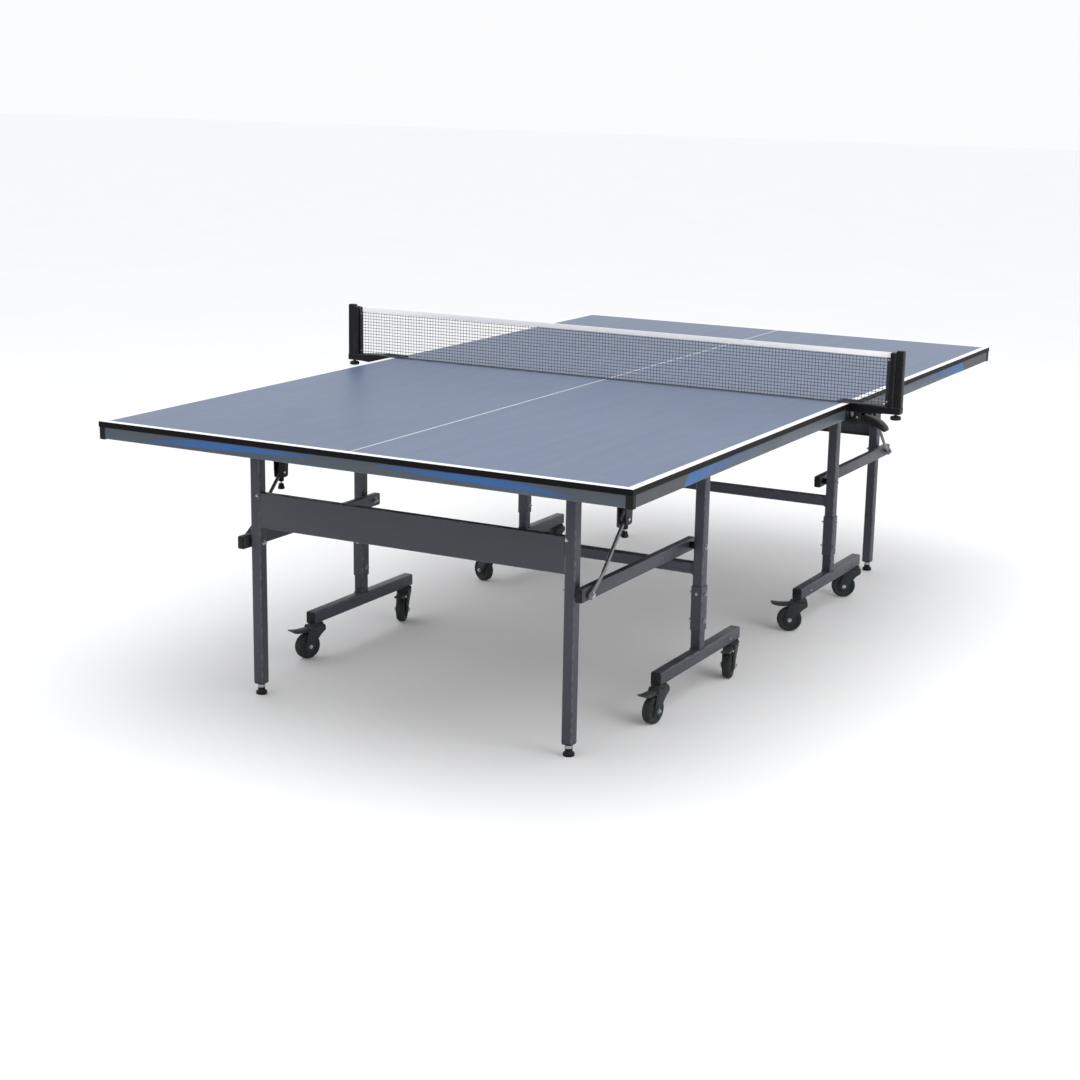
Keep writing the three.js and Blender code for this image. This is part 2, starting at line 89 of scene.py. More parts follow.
def colour(name, description, default):
    return FloatVectorProperty(name=name, description=description, default=default,
                               min=0.0, max=1.0, size=3, subtype="COLOR")


class TopSizes(bpy.types.PropertyGroup):
    """Sizes of the playing surface and the steel frame under it"""
    border_line: length("Border line", "Width of the white line round the edge", 20 * MM)
    centre_line: length("Centre line", "Width of the white line down the middle", 3 * MM)
    board_edge: length("Board edge", "Rounding of the board's edges", 1.0 * MM)
    apron_height: length("Apron height", "Height of the steel apron under the board", 30 * MM)
    apron_wall: length("Apron wall", "Thickness of the apron's steel", 2.5 * MM)
    apron_flange: length("Apron flange", "How far the apron's lower lip reaches inwards", 20 * MM)
    rail_width: length("Rail width", "Width of the two rails across each half", 30 * MM)
    corner_guard: length("Corner guard", "How far a plastic corner guard reaches along the apron", 16 * MM)


class FrameSizes(bpy.types.PropertyGroup):
    """Sizes of the tubes, links and feet"""
    tube: length("Tube", "Width of the square tubes", 30 * MM)
    tube_corner: length("Tube corner", "Rounding of the tubes' corners", 4.5 * MM)
    weld: length("Weld", "Radius of the weld beads", 2.2 * MM)
    panel_wall: length("Panel wall", "Thickness of the end panel's steel", 2 * MM)
    rod: length("Rod", "Radius of the safety rods", 5.0 * MM)


class NetSizes(bpy.types.PropertyGroup):
    """Sizes of the net"""
    mesh: length("Mesh", "Distance between two strands", 10 * MM)
    strand: length("Strand", "Width of a strand", 1.25 * MM)
    tape: length("Tape", "Height of the white tape along the top", 15 * MM)
    stitches: IntProperty(name="Stitches", description="Stitches along the tape", default=290, min=10)


class Colours(bpy.types.PropertyGroup):
    """Colours of the finishes"""
    board: colour("Board", "Lacquer of the playing surface", (0.085, 0.128, 0.228))
    lines: colour("Lines", "Paint of the lines", (0.86, 0.87, 0.88))
    frame_steel: colour("Frame steel", "Powder coat of the tubes", (0.036, 0.040, 0.053))
    apron_steel: colour("Apron steel", "Powder coat of the apron", (0.052, 0.068, 0.088))
    stripe: colour("Stripe", "Film of the wedge on the apron", (0.010, 0.090, 0.285))
    plastic: colour("Plastic", "Moulded plastic of guards, clamps and feet", (0.004, 0.004, 0.005))
    caster: colour("Caster", "Moulded plastic of the casters", (0.026, 0.032, 0.032))
    tyre: colour("Tyre", "Rubber of the tyres", (0.014, 0.015, 0.016))
    zinc: colour("Zinc", "Plating of the rods and bolts", (0.46, 0.47, 0.49))
    net: colour("Net", "Cord of the net", (0.018, 0.020, 0.028))
    tape: colour("Tape", "Cloth of the net's tape", (0.97, 0.97, 0.97))


# ======================================================================================
# Surfaces as arrays
# ======================================================================================
def box(node):
    """The lowest and highest corner of a frame node, as arrays."""
    low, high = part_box(node)
    return np.array(low), np.array(high)


def unit(vectors):
    return vectors / np.linalg.norm(vectors, axis=-1, keepdims=True)


def softened(corners, radius, steps=3):
    """An outline with rounded corners. A corner P is cut back by the radius to A and B on its two edges
    and follows (1-t)^2 A + 2t(1-t) P + t^2 B. Its wear is 4t(1-t), the highest in the middle of the turn."""
    reach = np.broadcast_to(np.asarray(radius, float), len(corners))[:, None]
    start = corners + reach * unit(np.roll(corners, 1, 0) - corners)
    end = corners + reach * unit(np.roll(corners, -1, 0) - corners)
    t = np.linspace(0, 1, steps + 1)[None, :, None]
    points = (1 - t) ** 2 * start[:, None] + 2 * t * (1 - t) * corners[:, None] + t * t * end[:, None]
    wear = np.broadcast_to(4 * t * (1 - t), (len(corners), steps + 1, 1))
    return points.reshape(-1, 2), wear.reshape(-1)


def drawn_in(corners, distance):
    """Each corner moves to where its edges meet once both have moved in: P + d (m + n) / (1 + m.n),
    where m and n are the inward normals of the two edges of an anticlockwise outline."""
    edge = unit(np.roll(corners, -1, 0) - corners)
    after = np.stack([-edge[:, 1], edge[:, 0]], 1)
    before = np.roll(after, 1, 0)
    return corners + distance * (before + after) / (1 + (before * after).sum(1, keepdims=True))


def anticlockwise(corners):
    x, y = corners.T
    return (x * np.roll(y, -1) - np.roll(x, -1) * y).sum() > 0


def skin(rows, wear, finish=0, ring=False):
    """Joins rows of points into quads. Each row closes on itself. A ring's last row joins its first;
    otherwise the first and last rows are closed by one flat face each."""
    count, across = rows.shape[:2]
    i = np.arange(count if ring else count - 1)[:, None]
    j = np.arange(across)[None, :]
    up, on = (i + 1) % count, (j + 1) % across
    faces = np.stack([i * across + j, i * across + on, up * across + on, up * across + j], -1)
    faces = faces.reshape(-1, 4).tolist()
    if not ring:
        faces.append(list(range(across))[::-1])
        faces.append(list(range((count - 1) * across, count * across)))
    wear = np.broadcast_to(wear, rows.shape[:2])
    return {"points": rows.reshape(-1, 3), "wear": wear.reshape(-1), "faces": faces, "finish": finish}


def extruded(corners, radius, span, axis, edge=FINE_EDGE, finish=0, steps=3):
    """An outline carried straight along an axis. At both ends a quarter circle rounds it over: it is
    drawn in by edge (1 - sin a) where it has advanced by edge (1 - cos a). Corners are given in the
    two other directions, in the order X, Y, Z."""
    u, v, w = PLANES[axis]
    corners = np.asarray(corners, float)
    radius = np.broadcast_to(np.asarray(radius, float), len(corners))
    if axis == "y":
        corners = corners[:, ::-1]
    if not anticlockwise(corners):
        corners, radius = corners[::-1], radius[::-1]
    angle = np.radians([0, 45, 90, 90, 45, 0])
    drawn, advance = edge * (1 - np.sin(angle)), edge * (1 - np.cos(angle))
    along = np.where(np.arange(6) < 3, span[0] + advance, span[1] - advance)
    outlines = [softened(drawn_in(corners, d), np.maximum(radius - d, radius / 3), steps) for d in drawn]
    rows = np.zeros((6, len(outlines[0][0]), 3))
    rows[:, :, [u, v]] = np.array([points for points, _ in outlines])
    rows[:, :, w] = along[:, None]
    wear = np.maximum(outlines[0][1][None, :], np.sin(2 * angle)[:, None])
    return skin(rows, wear, finish)


def rectangle(low_a, low_b, high_a, high_b):
    return [(low_a, low_b), (high_a, low_b), (high_a, high_b), (low_a, high_b)]


def bar(low, high, axis, radius, edge=FINE_EDGE, finish=0, steps=3):
    """A straight bar between two corners: its rectangular section extruded along the axis."""
    a, b = [k for k in range(3) if k != "xyz".index(axis)]
    w = "xyz".index(axis)
    corners = rectangle(low[a], low[b], high[a], high[b])
    return extruded(corners, radius, (low[w], high[w]), axis, edge, finish, steps)


def turned(profile, centre, axis, direction=1, sides=28, finish=0, ring=False):
    """A profile of radius r and height h turned about an axis: centre + h W + r (cos a U + sin a V).
    Wear grows with the angle through which the profile turns at each point."""
    u, v, w = PLANES[axis]
    profile = np.asarray(profile, float)
    if direction < 0:
        profile = profile[::-1] * (1, -1)
    angle = np.linspace(0, 2 * np.pi, sides, endpoint=False)
    rows = np.zeros((len(profile), sides, 3)) + np.asarray(centre, float)
    rows[:, :, u] += profile[:, :1] * np.cos(angle)
    rows[:, :, v] += profile[:, :1] * np.sin(angle)
    rows[:, :, w] += profile[:, 1:]
    heading = unit(np.diff(profile, axis=0))
    turn = np.zeros(len(profile))
    turn[1:-1] = 1 - (heading[1:] * heading[:-1]).sum(1)
    return skin(rows, np.clip(turn, 0, 1)[:, None], finish, ring)


def pin(radius, start, end, centre, axis, finish=1, direction=1, sides=16):
    """A plain round pin between two heights over a centre."""
    return turned([(radius, start), (radius, end)], centre, axis, direction, sides, finish)


def swept(path, section, side, finish=0, ring=False):
    """A section (a, b) carried along a path: path + a S + b (T x S), where T is the path's direction and
    S is the given side direction made square to T. The section may differ from row to row."""
    path = np.asarray(path, float)
    if ring:
        tangent = unit(np.roll(path, -1, 0) - np.roll(path, 1, 0))
    else:
        tangent = unit(np.gradient(path, axis=0))
    side = np.broadcast_to(np.asarray(side, float), path.shape)
    side = unit(side - (side * tangent).sum(1, keepdims=True) * tangent)
    up = np.cross(tangent, side)
    section = np.broadcast_to(section, (len(path),) + np.shape(section)[-2:])
    rows = path[:, None] + section[:, :, :1] * side[:, None] + section[:, :, 1:] * up[:, None]
    return skin(rows, 0.0, finish, ring)


def circle(radius, sides=12):
    angle = np.linspace(0, 2 * np.pi, sides, endpoint=False)
    return np.stack([radius * np.cos(angle), radius * np.sin(angle)], 1)


def mirrored(patch):
    """The same surface on the other side of the plane Y = 0, with its faces turned to point outwards."""
    return {**patch, "points": patch["points"] * (1, -1, 1), "faces": [f[::-1] for f in patch["faces"]]}


def flipped(patch):
    """The same surface on the other side of the plane X = 0, with its faces turned to point outwards."""
    return {**patch, "points": patch["points"] * (-1, 1, 1), "faces": [f[::-1] for f in patch["faces"]]}


def on_side(patches, half, side):
    """Patches drawn for the half and side with positive X and Y, put on the wanted half and side."""
    if half < 0:
        patches = [flipped(patch) for patch in patches]
    if side < 0:
        patches = [mirrored(patch) for patch in patches]
    return patches


def placed(patches, angle, offset):
    """Patches turned about Z by an angle in radians, then moved."""
    c, s = math.cos(angle), math.sin(angle)
    turn = np.array([[c, s, 0], [-s, c, 0], [0, 0, 1]])
    return [{**patch, "points": patch["points"] @ turn + offset} for patch in patches]


# ---- fastenings ----
def bolt(centre, axis, direction, radius=BOLT_RADIUS, finish=0):
    """A hexagon head with a rounded edge on a turned washer. The centre is on the face it clamps."""
    centre = np.asarray(centre, float)
    u, v, w = PLANES[axis]
    washer = turned([(radius * 0.5, 0), (radius * 1.7, 0), (radius * 1.8, WASHER * 0.3),
                     (radius * 1.75, WASHER), (radius * 0.5, WASHER)], centre, axis, direction, 20, finish)
    angle = np.radians(np.arange(6) * 60 + 15)
    corners = centre[[u, v]] + radius * 1.3 * np.stack([np.cos(angle), np.sin(angle)], 1)
    if axis == "y":
        corners = corners[:, ::-1]
    ends = sorted([centre[w] + direction * WASHER, centre[w] + direction * (WASHER + BOLT_HEAD)])
    head = extruded(corners, radius * 0.12, ends, axis, radius * 0.22, finish, 2)
    return [washer, head]


def nut_and_end(centre, axis, direction, radius=BOLT_RADIUS, finish=0):
    """A bolt's far end: the same washer and hexagon, with the threaded end standing out of it."""
    centre = np.asarray(centre, float)
    base = WASHER + BOLT_HEAD - FINE_EDGE
    ripple = np.arange(9)
    thread = np.stack([radius * np.where(ripple % 2, 0.62, 0.7), base + ripple * 0.6 * MM], 1)
    end = turned(thread, centre, axis, direction, 16, finish)
    return bolt(centre, axis, direction, radius, finish) + [end]


def weld_bead(centre, half_width, axis, radius, finish=0):
    """A bead round a square tube where it meets a face: a circle carried round the rounded square, its
    radius rippling as 1 + 0.16 cos(k s)."""
    u, v, w = PLANES[axis]
    corners = np.array([(-1, -1), (1, -1), (1, 1), (-1, 1)]) * half_width
    outline, _ = softened(corners, half_width * 0.25, 4)
    closed = np.concatenate([outline, outline[:1]])
    along = np.concatenate([[0], np.cumsum(np.linalg.norm(np.diff(closed, axis=0), axis=1))])
    at = np.linspace(0, along[-1], 88, endpoint=False)
    path = np.zeros((88, 3)) + np.asarray(centre, float)
    path[:, u] += np.interp(at, along, closed[:, 0])
    path[:, v] += np.interp(at, along, closed[:, 1])
    ripple = 1 + 0.16 * np.cos(np.arange(88) * np.pi)
    side = np.zeros(3)
    side[w] = 1
    return swept(path, circle(radius, 6)[None] * ripple[:, None, None], side, finish, True)


def make_piece(name, patches, finishes, body, stands_for=(), sharp=38):
    """Joins patches into one mesh that rides on a body, with its wear stored on its points."""
    offsets = np.cumsum([0] + [len(patch["points"]) for patch in patches])
    points = np.concatenate([patch["points"] for patch in patches])
    faces = [[k + offset for k in face] for patch, offset in zip(patches, offsets) for face in patch["faces"]]
    mesh = bpy.data.meshes.new(name)
    mesh.from_pydata(points.tolist(), [], faces)
    kinds = np.concatenate([np.broadcast_to(patch["finish"], len(patch["faces"])) for patch in patches])
    mesh.polygons.foreach_set("material_index", kinds.astype(np.int32))
    wear = mesh.attributes.new("wear", "FLOAT", "POINT")
    wear.data.foreach_set("value", np.concatenate([patch["wear"] for patch in patches]).astype(np.float32))
    for finish in finishes:
        mesh.materials.append(finish_named(finish))
    mesh.shade_smooth()
    mesh.set_sharp_from_angle(angle=math.radians(sharp))
    piece = bpy.data.objects.new(name, mesh)
    bpy.context.scene.collection.objects.link(piece)
    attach(piece, body)
    if stands_for:
        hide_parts(*stands_for)
    return piece


# ======================================================================================
# Finishes
# ======================================================================================
def add(tree, kind, inputs=None, **settings):
    """A new node, with its settings and the values of its inputs. An input may be another node's output."""
    node = tree.nodes.new(kind)
    for key, value in settings.items():
        setattr(node, key, value)
    for key, value in (inputs or {}).items():
        if isinstance(value, bpy.types.NodeSocket):
            tree.links.new(value, node.inputs[key])
        else:
            node.inputs[key].default_value = value
    return node


def math_node(tree, operation, *values, clamp=False):
    node = add(tree, "ShaderNodeMath", dict(enumerate(values)), operation=operation, use_clamp=clamp)
    return node.outputs[0]


def ramp(tree, value, low, high, out_low=0.0, out_high=1.0):
    """A value mapped from one range to another, and held at its ends."""
    node = add(tree, "ShaderNodeMapRange", {"Value": value, "From Min": low, "From Max": high,
                                            "To Min": out_low, "To Max": out_high})
    return node.outputs[0]


def mixed(tree, share, first, second, blend="MIX"):
    """Two colours mixed by a share."""
    node = add(tree, "ShaderNodeMix", data_type="RGBA", blend_type=blend)
    for socket, value in ((node.inputs[0], share), (node.inputs[6], first), (node.inputs[7], second)):
        if isinstance(value, bpy.types.NodeSocket):
            tree.links.new(value, socket)
        else:
            socket.default_value = value
    return node.outputs[2]


def noise(tree, vector, scale, detail=3.0, roughness=0.55):
    node = add(tree, "ShaderNodeTexNoise", {"Vector": vector, "Scale": scale, "Detail": detail,
                                            "Roughness": roughness})
    return node.outputs["Fac"]


def drawn_out(tree, vector, scale, detail, roughness=0.55, turn=0.0):
    """Noise with its own scale along each axis, turned about Z."""
    node = add(tree, "ShaderNodeMapping", {"Vector": vector, "Scale": scale, "Rotation": (0, 0, turn)})
    return noise(tree, node.outputs[0], 1.0, detail, roughness)


def shaded(tree, colour_value, shade):
    """A colour multiplied by a grey."""
    grey = add(tree, "ShaderNodeCombineColor", {0: shade, 1: shade, 2: shade}).outputs[0]
    return mixed(tree, 1.0, colour_value, grey, "MULTIPLY")


def object_place(tree):
    return add(tree, "ShaderNodeTexCoord").outputs["Object"]


def stored_wear(tree):
    return add(tree, "ShaderNodeAttribute", attribute_name="wear").outputs["Fac"]


def new_group(name, inputs, outputs):
    """An empty node group with named sockets."""
    tree = bpy.data.node_groups.new(name, "ShaderNodeTree")
    for label, kind, default in inputs:
        tree.interface.new_socket(name=label, in_out="INPUT", socket_type=kind).default_value = default
    for label, kind in outputs:
        tree.interface.new_socket(name=label, in_out="OUTPUT", socket_type=kind)
    return tree, tree.nodes.new("NodeGroupInput").outputs, tree.nodes.new("NodeGroupOutput").inputs


def put_out(tree, out, colour_value, rough, height):
    """Links a group's colour, roughness and height to its outputs."""
    for label, value in (("Colour", colour_value), ("Roughness", rough), ("Height", height)):
        tree.links.new(value, out[label])


COLOUR, VALUE = "NodeSocketColor", "NodeSocketFloat"


def group_once(make):
    """A node group's maker that builds its group the first time and finds it again afterwards."""
    made = {}

    def found():
        if "tree" not in made:
            made["tree"] = make()
        return made["tree"]
    return found


@group_once
def settled_dust():
    """Dust: a pale film that gathers in patches on faces that look up, as patches times the share of
    the normal that points up. Puts out the dusty colour and how much rougher the dust makes it."""
    tree, given, out = new_group(
        "Settled Dust",
        [("Colour", COLOUR, (0.5, 0.5, 0.5, 1)), ("Amount", VALUE, 0.2)],
        [("Colour", COLOUR), ("Rougher", VALUE)])
    place = object_place(tree)
    normal = add(tree, "ShaderNodeNewGeometry").outputs["Normal"]
    upward = add(tree, "ShaderNodeSeparateXYZ", {0: normal}).outputs[2]
    patches = ramp(tree, noise(tree, place, 14.0, 5.0, 0.65), 0.38, 0.72)
    share = math_node(tree, "MULTIPLY", ramp(tree, upward, 0.1, 0.9), patches)
    share = math_node(tree, "MULTIPLY", share, given["Amount"])
    dusty = mixed(tree, share, given["Colour"], (0.42, 0.41, 0.39, 1))
    tree.links.new(dusty, out["Colour"])
    tree.links.new(math_node(tree, "MULTIPLY", share, 0.5), out["Rougher"])
    return tree


@group_once
def powder_coat():
    """Powder-coated steel: a colour that drifts a little, fine orange peel, and edges rubbed lighter
    where the piece's wear is high and a fine noise breaks it up."""
    tree, given, out = new_group(
        "Powder Coat",
        [("Colour", COLOUR, (0.1, 0.1, 0.1, 1)), ("Worn Colour", COLOUR, (0.3, 0.3, 0.3, 1)),
         ("Wear", VALUE, 0.5), ("Roughness", VALUE, 0.45), ("Dust", VALUE, 0.15)],
        [("Colour", COLOUR), ("Roughness", VALUE), ("Height", VALUE)])
    place = object_place(tree)
    drift = noise(tree, place, 3.5, 4.0)
    peel = noise(tree, place, 850.0, 2.0, 0.5)
    scuffs = noise(tree, place, 60.0, 6.0, 0.7)
    shade = ramp(tree, drift, 0.3, 0.7, 0.9, 1.12)
    base = shaded(tree, given["Colour"], shade)
    edge = stored_wear(tree)
    rubbed = math_node(tree, "MULTIPLY", edge, ramp(tree, scuffs, 0.4, 0.62))
    rubbed = math_node(tree, "MULTIPLY", rubbed, given["Wear"], clamp=True)
    base = mixed(tree, rubbed, base, given["Worn Colour"])
    dust = add(tree, "ShaderNodeGroup", {"Colour": base, "Amount": given["Dust"]}, node_tree=settled_dust())
    rough = math_node(tree, "ADD", given["Roughness"], ramp(tree, scuffs, 0.35, 0.7, -0.05, 0.08))
    rough = math_node(tree, "ADD", rough, dust.outputs["Rougher"])
    put_out(tree, out, dust.outputs["Colour"], rough, peel)
    return tree


@group_once
def moulded_grain():
    """Moulded plastic: a spark-eroded grain from small cells, faint flow marks, scuffed edges."""
    tree, given, out = new_group(
        "Moulded Grain",
        [("Colour", COLOUR, (0.02, 0.02, 0.02, 1)), ("Grain", VALUE, 1400.0), ("Roughness", VALUE, 0.5),
         ("Scuff", VALUE, 0.4), ("Dust", VALUE, 0.2)],
        [("Colour", COLOUR), ("Roughness", VALUE), ("Height", VALUE)])
    place = object_place(tree)
    cells = add(tree, "ShaderNodeTexVoronoi", {"Vector": place, "Scale": given["Grain"]}).outputs["Distance"]
    flow = noise(tree, place, 22.0, 5.0, 0.6)
    fine = noise(tree, place, 240.0, 3.0, 0.6)
    shade = ramp(tree, flow, 0.3, 0.7, 0.85, 1.25)
    base = shaded(tree, given["Colour"], shade)
    edge = stored_wear(tree)
    rubbed = math_node(tree, "MULTIPLY", edge, ramp(tree, fine, 0.42, 0.6))
    rubbed = math_node(tree, "MULTIPLY", rubbed, given["Scuff"], clamp=True)
    base = mixed(tree, rubbed, base, (0.06, 0.06, 0.063, 1))
    dust = add(tree, "ShaderNodeGroup", {"Colour": base, "Amount": given["Dust"]}, node_tree=settled_dust())
    rough = math_node(tree, "ADD", given["Roughness"], ramp(tree, flow, 0.3, 0.7, -0.06, 0.08))
    rough = math_node(tree, "ADD", rough, dust.outputs["Rougher"])
    put_out(tree, out, dust.outputs["Colour"], rough, cells)
    return tree


@group_once
def zinc_plate():
    """Zinc-plated steel: drawn streaks, spangle in cells a few millimetres wide, dull patches."""
    tree, given, out = new_group(
        "Zinc Plate",
        [("Colour", COLOUR, (0.5, 0.5, 0.5, 1)), ("Roughness", VALUE, 0.3)],
        [("Colour", COLOUR), ("Roughness", VALUE), ("Height", VALUE)])
    place = object_place(tree)
    spangle = add(tree, "ShaderNodeTexVoronoi", {"Vector": place, "Scale": 420.0}).outputs["Color"]
    spangle = add(tree, "ShaderNodeRGBToBW", {0: spangle}).outputs[0]
    dull = noise(tree, place, 45.0, 5.0, 0.65)
    streaks = drawn_out(tree, place, (900, 900, 40), 2.0)
    shade = ramp(tree, spangle, 0.0, 1.0, 0.88, 1.08)
    base = shaded(tree, given["Colour"], shade)
    base = mixed(tree, ramp(tree, dull, 0.5, 0.75, 0.0, 0.5), base, (0.22, 0.22, 0.23, 1))
    rough = math_node(tree, "ADD", given["Roughness"], ramp(tree, dull, 0.35, 0.7, -0.05, 0.2))
    put_out(tree, out, base, rough, streaks)
    return tree


def start_material(name, **constants):
    """A material with a Principled shader whose constant values are set on its own sockets."""
    material = bpy.data.materials.new(name)
    material.use_nodes = True
    shader = material.node_tree.nodes["Principled BSDF"]
    for key, value in constants.items():
        shader.inputs[key.replace("_", " ")].default_value = value
    return material, material.node_tree, shader


def dressed(tree, shader, base, rough, height, strength, distance):
    """Links a colour, a roughness and a height, the last through a bump, to a shader."""
    node = add(tree, "ShaderNodeBump", {"Height": height, "Strength": strength, "Distance": distance})
    for label, value in (("Base Color", base), ("Roughness", rough), ("Normal", node.outputs["Normal"])):
        tree.links.new(value, shader.inputs[label])


def grouped_material(name, group, inputs, strength, distance, **constants):
    """A material whose colour, roughness and bump all come from one node group."""
    material, tree, shader = start_material(name, **constants)
    node = add(tree, "ShaderNodeGroup", node_tree=group())
    for key, value in inputs.items():
        node.inputs[key].default_value = (*value, 1.0) if isinstance(value, tuple) else value
    dressed(tree, shader, *(node.outputs[label] for label in ("Colour", "Roughness", "Height")), strength,
            distance)
    return material


def chosen(name):
    return tuple(getattr(bpy.context.scene.table_colours, name))


def lighter(colour_value, share):
    """A colour moved towards white by a share."""
    return tuple(c + (1 - c) * share for c in colour_value)


def steel_finish(name, colour_value, roughness, wear=0.55):
    return grouped_material(name, powder_coat, {
        "Colour": colour_value, "Worn Colour": lighter(colour_value, 0.16), "Wear": wear,
        "Roughness": roughness, "Dust": 0.10}, 0.22, 0.12 * MM, Metallic=0.15, Specular_IOR_Level=0.5)


def plastic_finish(name, colour_value, roughness, grain=1400.0, dust=0.06):
    return grouped_material(name, moulded_grain, {
        "Colour": colour_value, "Grain": grain, "Roughness": roughness, "Scuff": 0.5, "Dust": dust},
        0.3, 0.10 * MM, Specular_IOR_Level=0.18)


def board_lacquer():
    """Satin lacquer on the playing surface: fine stipple, slow drift in colour, faint wiping marks and
    grey ball marks left by play."""
    material, tree, shader = start_material("Board Lacquer", Specular_IOR_Level=0.35)
    place = object_place(tree)
    drift = noise(tree, place, 1.3, 3.0)
    cloud = noise(tree, place, 9.0, 5.0, 0.6)
    stipple = noise(tree, place, 1100.0, 2.0, 0.6)
    wiped = drawn_out(tree, place, (2.0, 26.0, 1.0), 5.0, 0.7, 0.4)
    spots = add(tree, "ShaderNodeTexVoronoi", {"Vector": place, "Scale": 7.0, "Randomness": 1.0})
    mark = ramp(tree, spots.outputs["Distance"], 0.035, 0.075, 1.0, 0.0)
    chance = add(tree, "ShaderNodeSeparateColor", {0: spots.outputs["Color"]}).outputs[0]
    mark = math_node(tree, "MULTIPLY", mark, ramp(tree, chance, 0.72, 0.95, 0.0, 0.10))
    board = (*chosen("board"), 1)
    deep = tuple(c * 0.88 for c in chosen("board")) + (1,)
    pale = (*lighter(chosen("board"), 0.05), 1)
    base = mixed(tree, ramp(tree, drift, 0.3, 0.7), deep, board)
    base = mixed(tree, ramp(tree, cloud, 0.42, 0.78, 0.0, 0.6), base, pale)
    base = mixed(tree, mark, base, (0.45, 0.47, 0.50, 1))
    rough = math_node(tree, "ADD", ramp(tree, wiped, 0.3, 0.7, 0.34, 0.38),
                      ramp(tree, cloud, 0.35, 0.7, 0.0, 0.05))
    dressed(tree, shader, base, rough, stipple, 0.16, 0.10 * MM)
    return material


def line_paint():
    """White line paint: slightly uneven cover, faint grey scuffs."""
    material, tree, shader = start_material("Line Paint", Specular_IOR_Level=0.5)
    place = object_place(tree)
    cover = noise(tree, place, 35.0, 5.0, 0.65)
    brushed = noise(tree, place, 900.0, 2.0)
    paint = (*chosen("lines"), 1)
    dull = tuple(c * 0.84 for c in paint[:3]) + (1,)
    base = mixed(tree, ramp(tree, cover, 0.5, 0.8, 0.0, 0.35), paint, dull)
    rough = ramp(tree, cover, 0.3, 0.7, 0.36, 0.5)
    dressed(tree, shader, base, rough, brushed, 0.12, 0.10 * MM)
    return material


def edge_lacquer():
    """Black lacquer over the board's cut edge: pressed layers show as fine lines along the edge."""
    material, tree, shader = start_material("Edge Lacquer", Specular_IOR_Level=0.08)
    place = object_place(tree)
    fibres = drawn_out(tree, place, (60, 60, 1600), 4.0, 0.6)
    base = mixed(tree, ramp(tree, fibres, 0.35, 0.7), (0.002, 0.002, 0.003, 1), (0.008, 0.008, 0.009, 1))
    rough = ramp(tree, fibres, 0.3, 0.7, 0.42, 0.6)
    dressed(tree, shader, base, rough, fibres, 0.3, 0.10 * MM)
    return material


def board_underside():
    """The board's unpainted underside: pressed wood fibre sealed dark, with short fibres and flecks."""
    material, tree, shader = start_material("Board Underside", Specular_IOR_Level=0.3)
    place = object_place(tree)
    fibres = drawn_out(tree, place, (140, 620, 300), 5.0, 0.65, 0.3)
    flecks = ramp(tree, noise(tree, place, 210.0, 4.0, 0.7), 0.58, 0.7)
    base = mixed(tree, ramp(tree, fibres, 0.3, 0.7), (0.030, 0.026, 0.022, 1), (0.075, 0.064, 0.052, 1))
    base = mixed(tree, math_node(tree, "MULTIPLY", flecks, 0.5), base, (0.16, 0.135, 0.105, 1))
    rough = ramp(tree, fibres, 0.3, 0.7, 0.62, 0.85)
    dressed(tree, shader, base, rough, fibres, 0.4, 0.15 * MM)
    return material


def stripe_film():
    """The printed film of the wedge on the apron: it fades into the steel's colour by its glow, with a
    fine dot screen."""
    material, tree, shader = start_material("Stripe Film", Specular_IOR_Level=0.3)
    place = object_place(tree)
    dots = add(tree, "ShaderNodeTexVoronoi", {"Vector": place, "Scale": 900.0, "Randomness": 0.15})
    glow = stored_wear(tree)
    printed = mixed(tree, ramp(tree, dots.outputs["Distance"], 0.2, 0.5, 0.0, 0.12), (*chosen("stripe"), 1),
                    (*lighter(chosen("stripe"), 0.12), 1))
    base = mixed(tree, glow, (*chosen("apron_steel"), 1), printed)
    rough = ramp(tree, noise(tree, place, 40.0), 0.3, 0.7, 0.36, 0.48)
    dressed(tree, shader, base, rough, noise(tree, place, 300.0), 0.08, 0.1 * MM)
    return material


def dark_film():
    """The dark printed film at the outer end of the side apron."""
    material, tree, shader = start_material("Dark Film", Specular_IOR_Level=0.3)
    place = object_place(tree)
    drift = ramp(tree, noise(tree, place, 12.0, 4.0), 0.3, 0.7)
    base = mixed(tree, drift, (0.040, 0.042, 0.047, 1), (0.050, 0.052, 0.058, 1))
    rough = ramp(tree, drift, 0.0, 1.0, 0.38, 0.48)
    dressed(tree, shader, base, rough, noise(tree, place, 300.0), 0.08, 0.1 * MM)
    return material


def tyre_rubber():
    """Tyre rubber: matt, with pale dust rubbed into the tread and fine pitting."""
    material, tree, shader = start_material("Tyre Rubber", Specular_IOR_Level=0.35)
    place = object_place(tree)
    pits = noise(tree, place, 520.0, 4.0, 0.65)
    dirt = ramp(tree, noise(tree, place, 55.0, 5.0, 0.7), 0.48, 0.72)
    tread = stored_wear(tree)
    share = math_node(tree, "MULTIPLY", dirt, ramp(tree, tread, 0.0, 1.0, 0.12, 0.5))
    base = mixed(tree, share, (*chosen("tyre"), 1), (0.12, 0.115, 0.105, 1))
    rough = ramp(tree, pits, 0.3, 0.7, 0.6, 0.82)
    dressed(tree, shader, base, rough, pits, 0.35, 0.12 * MM)
    return material


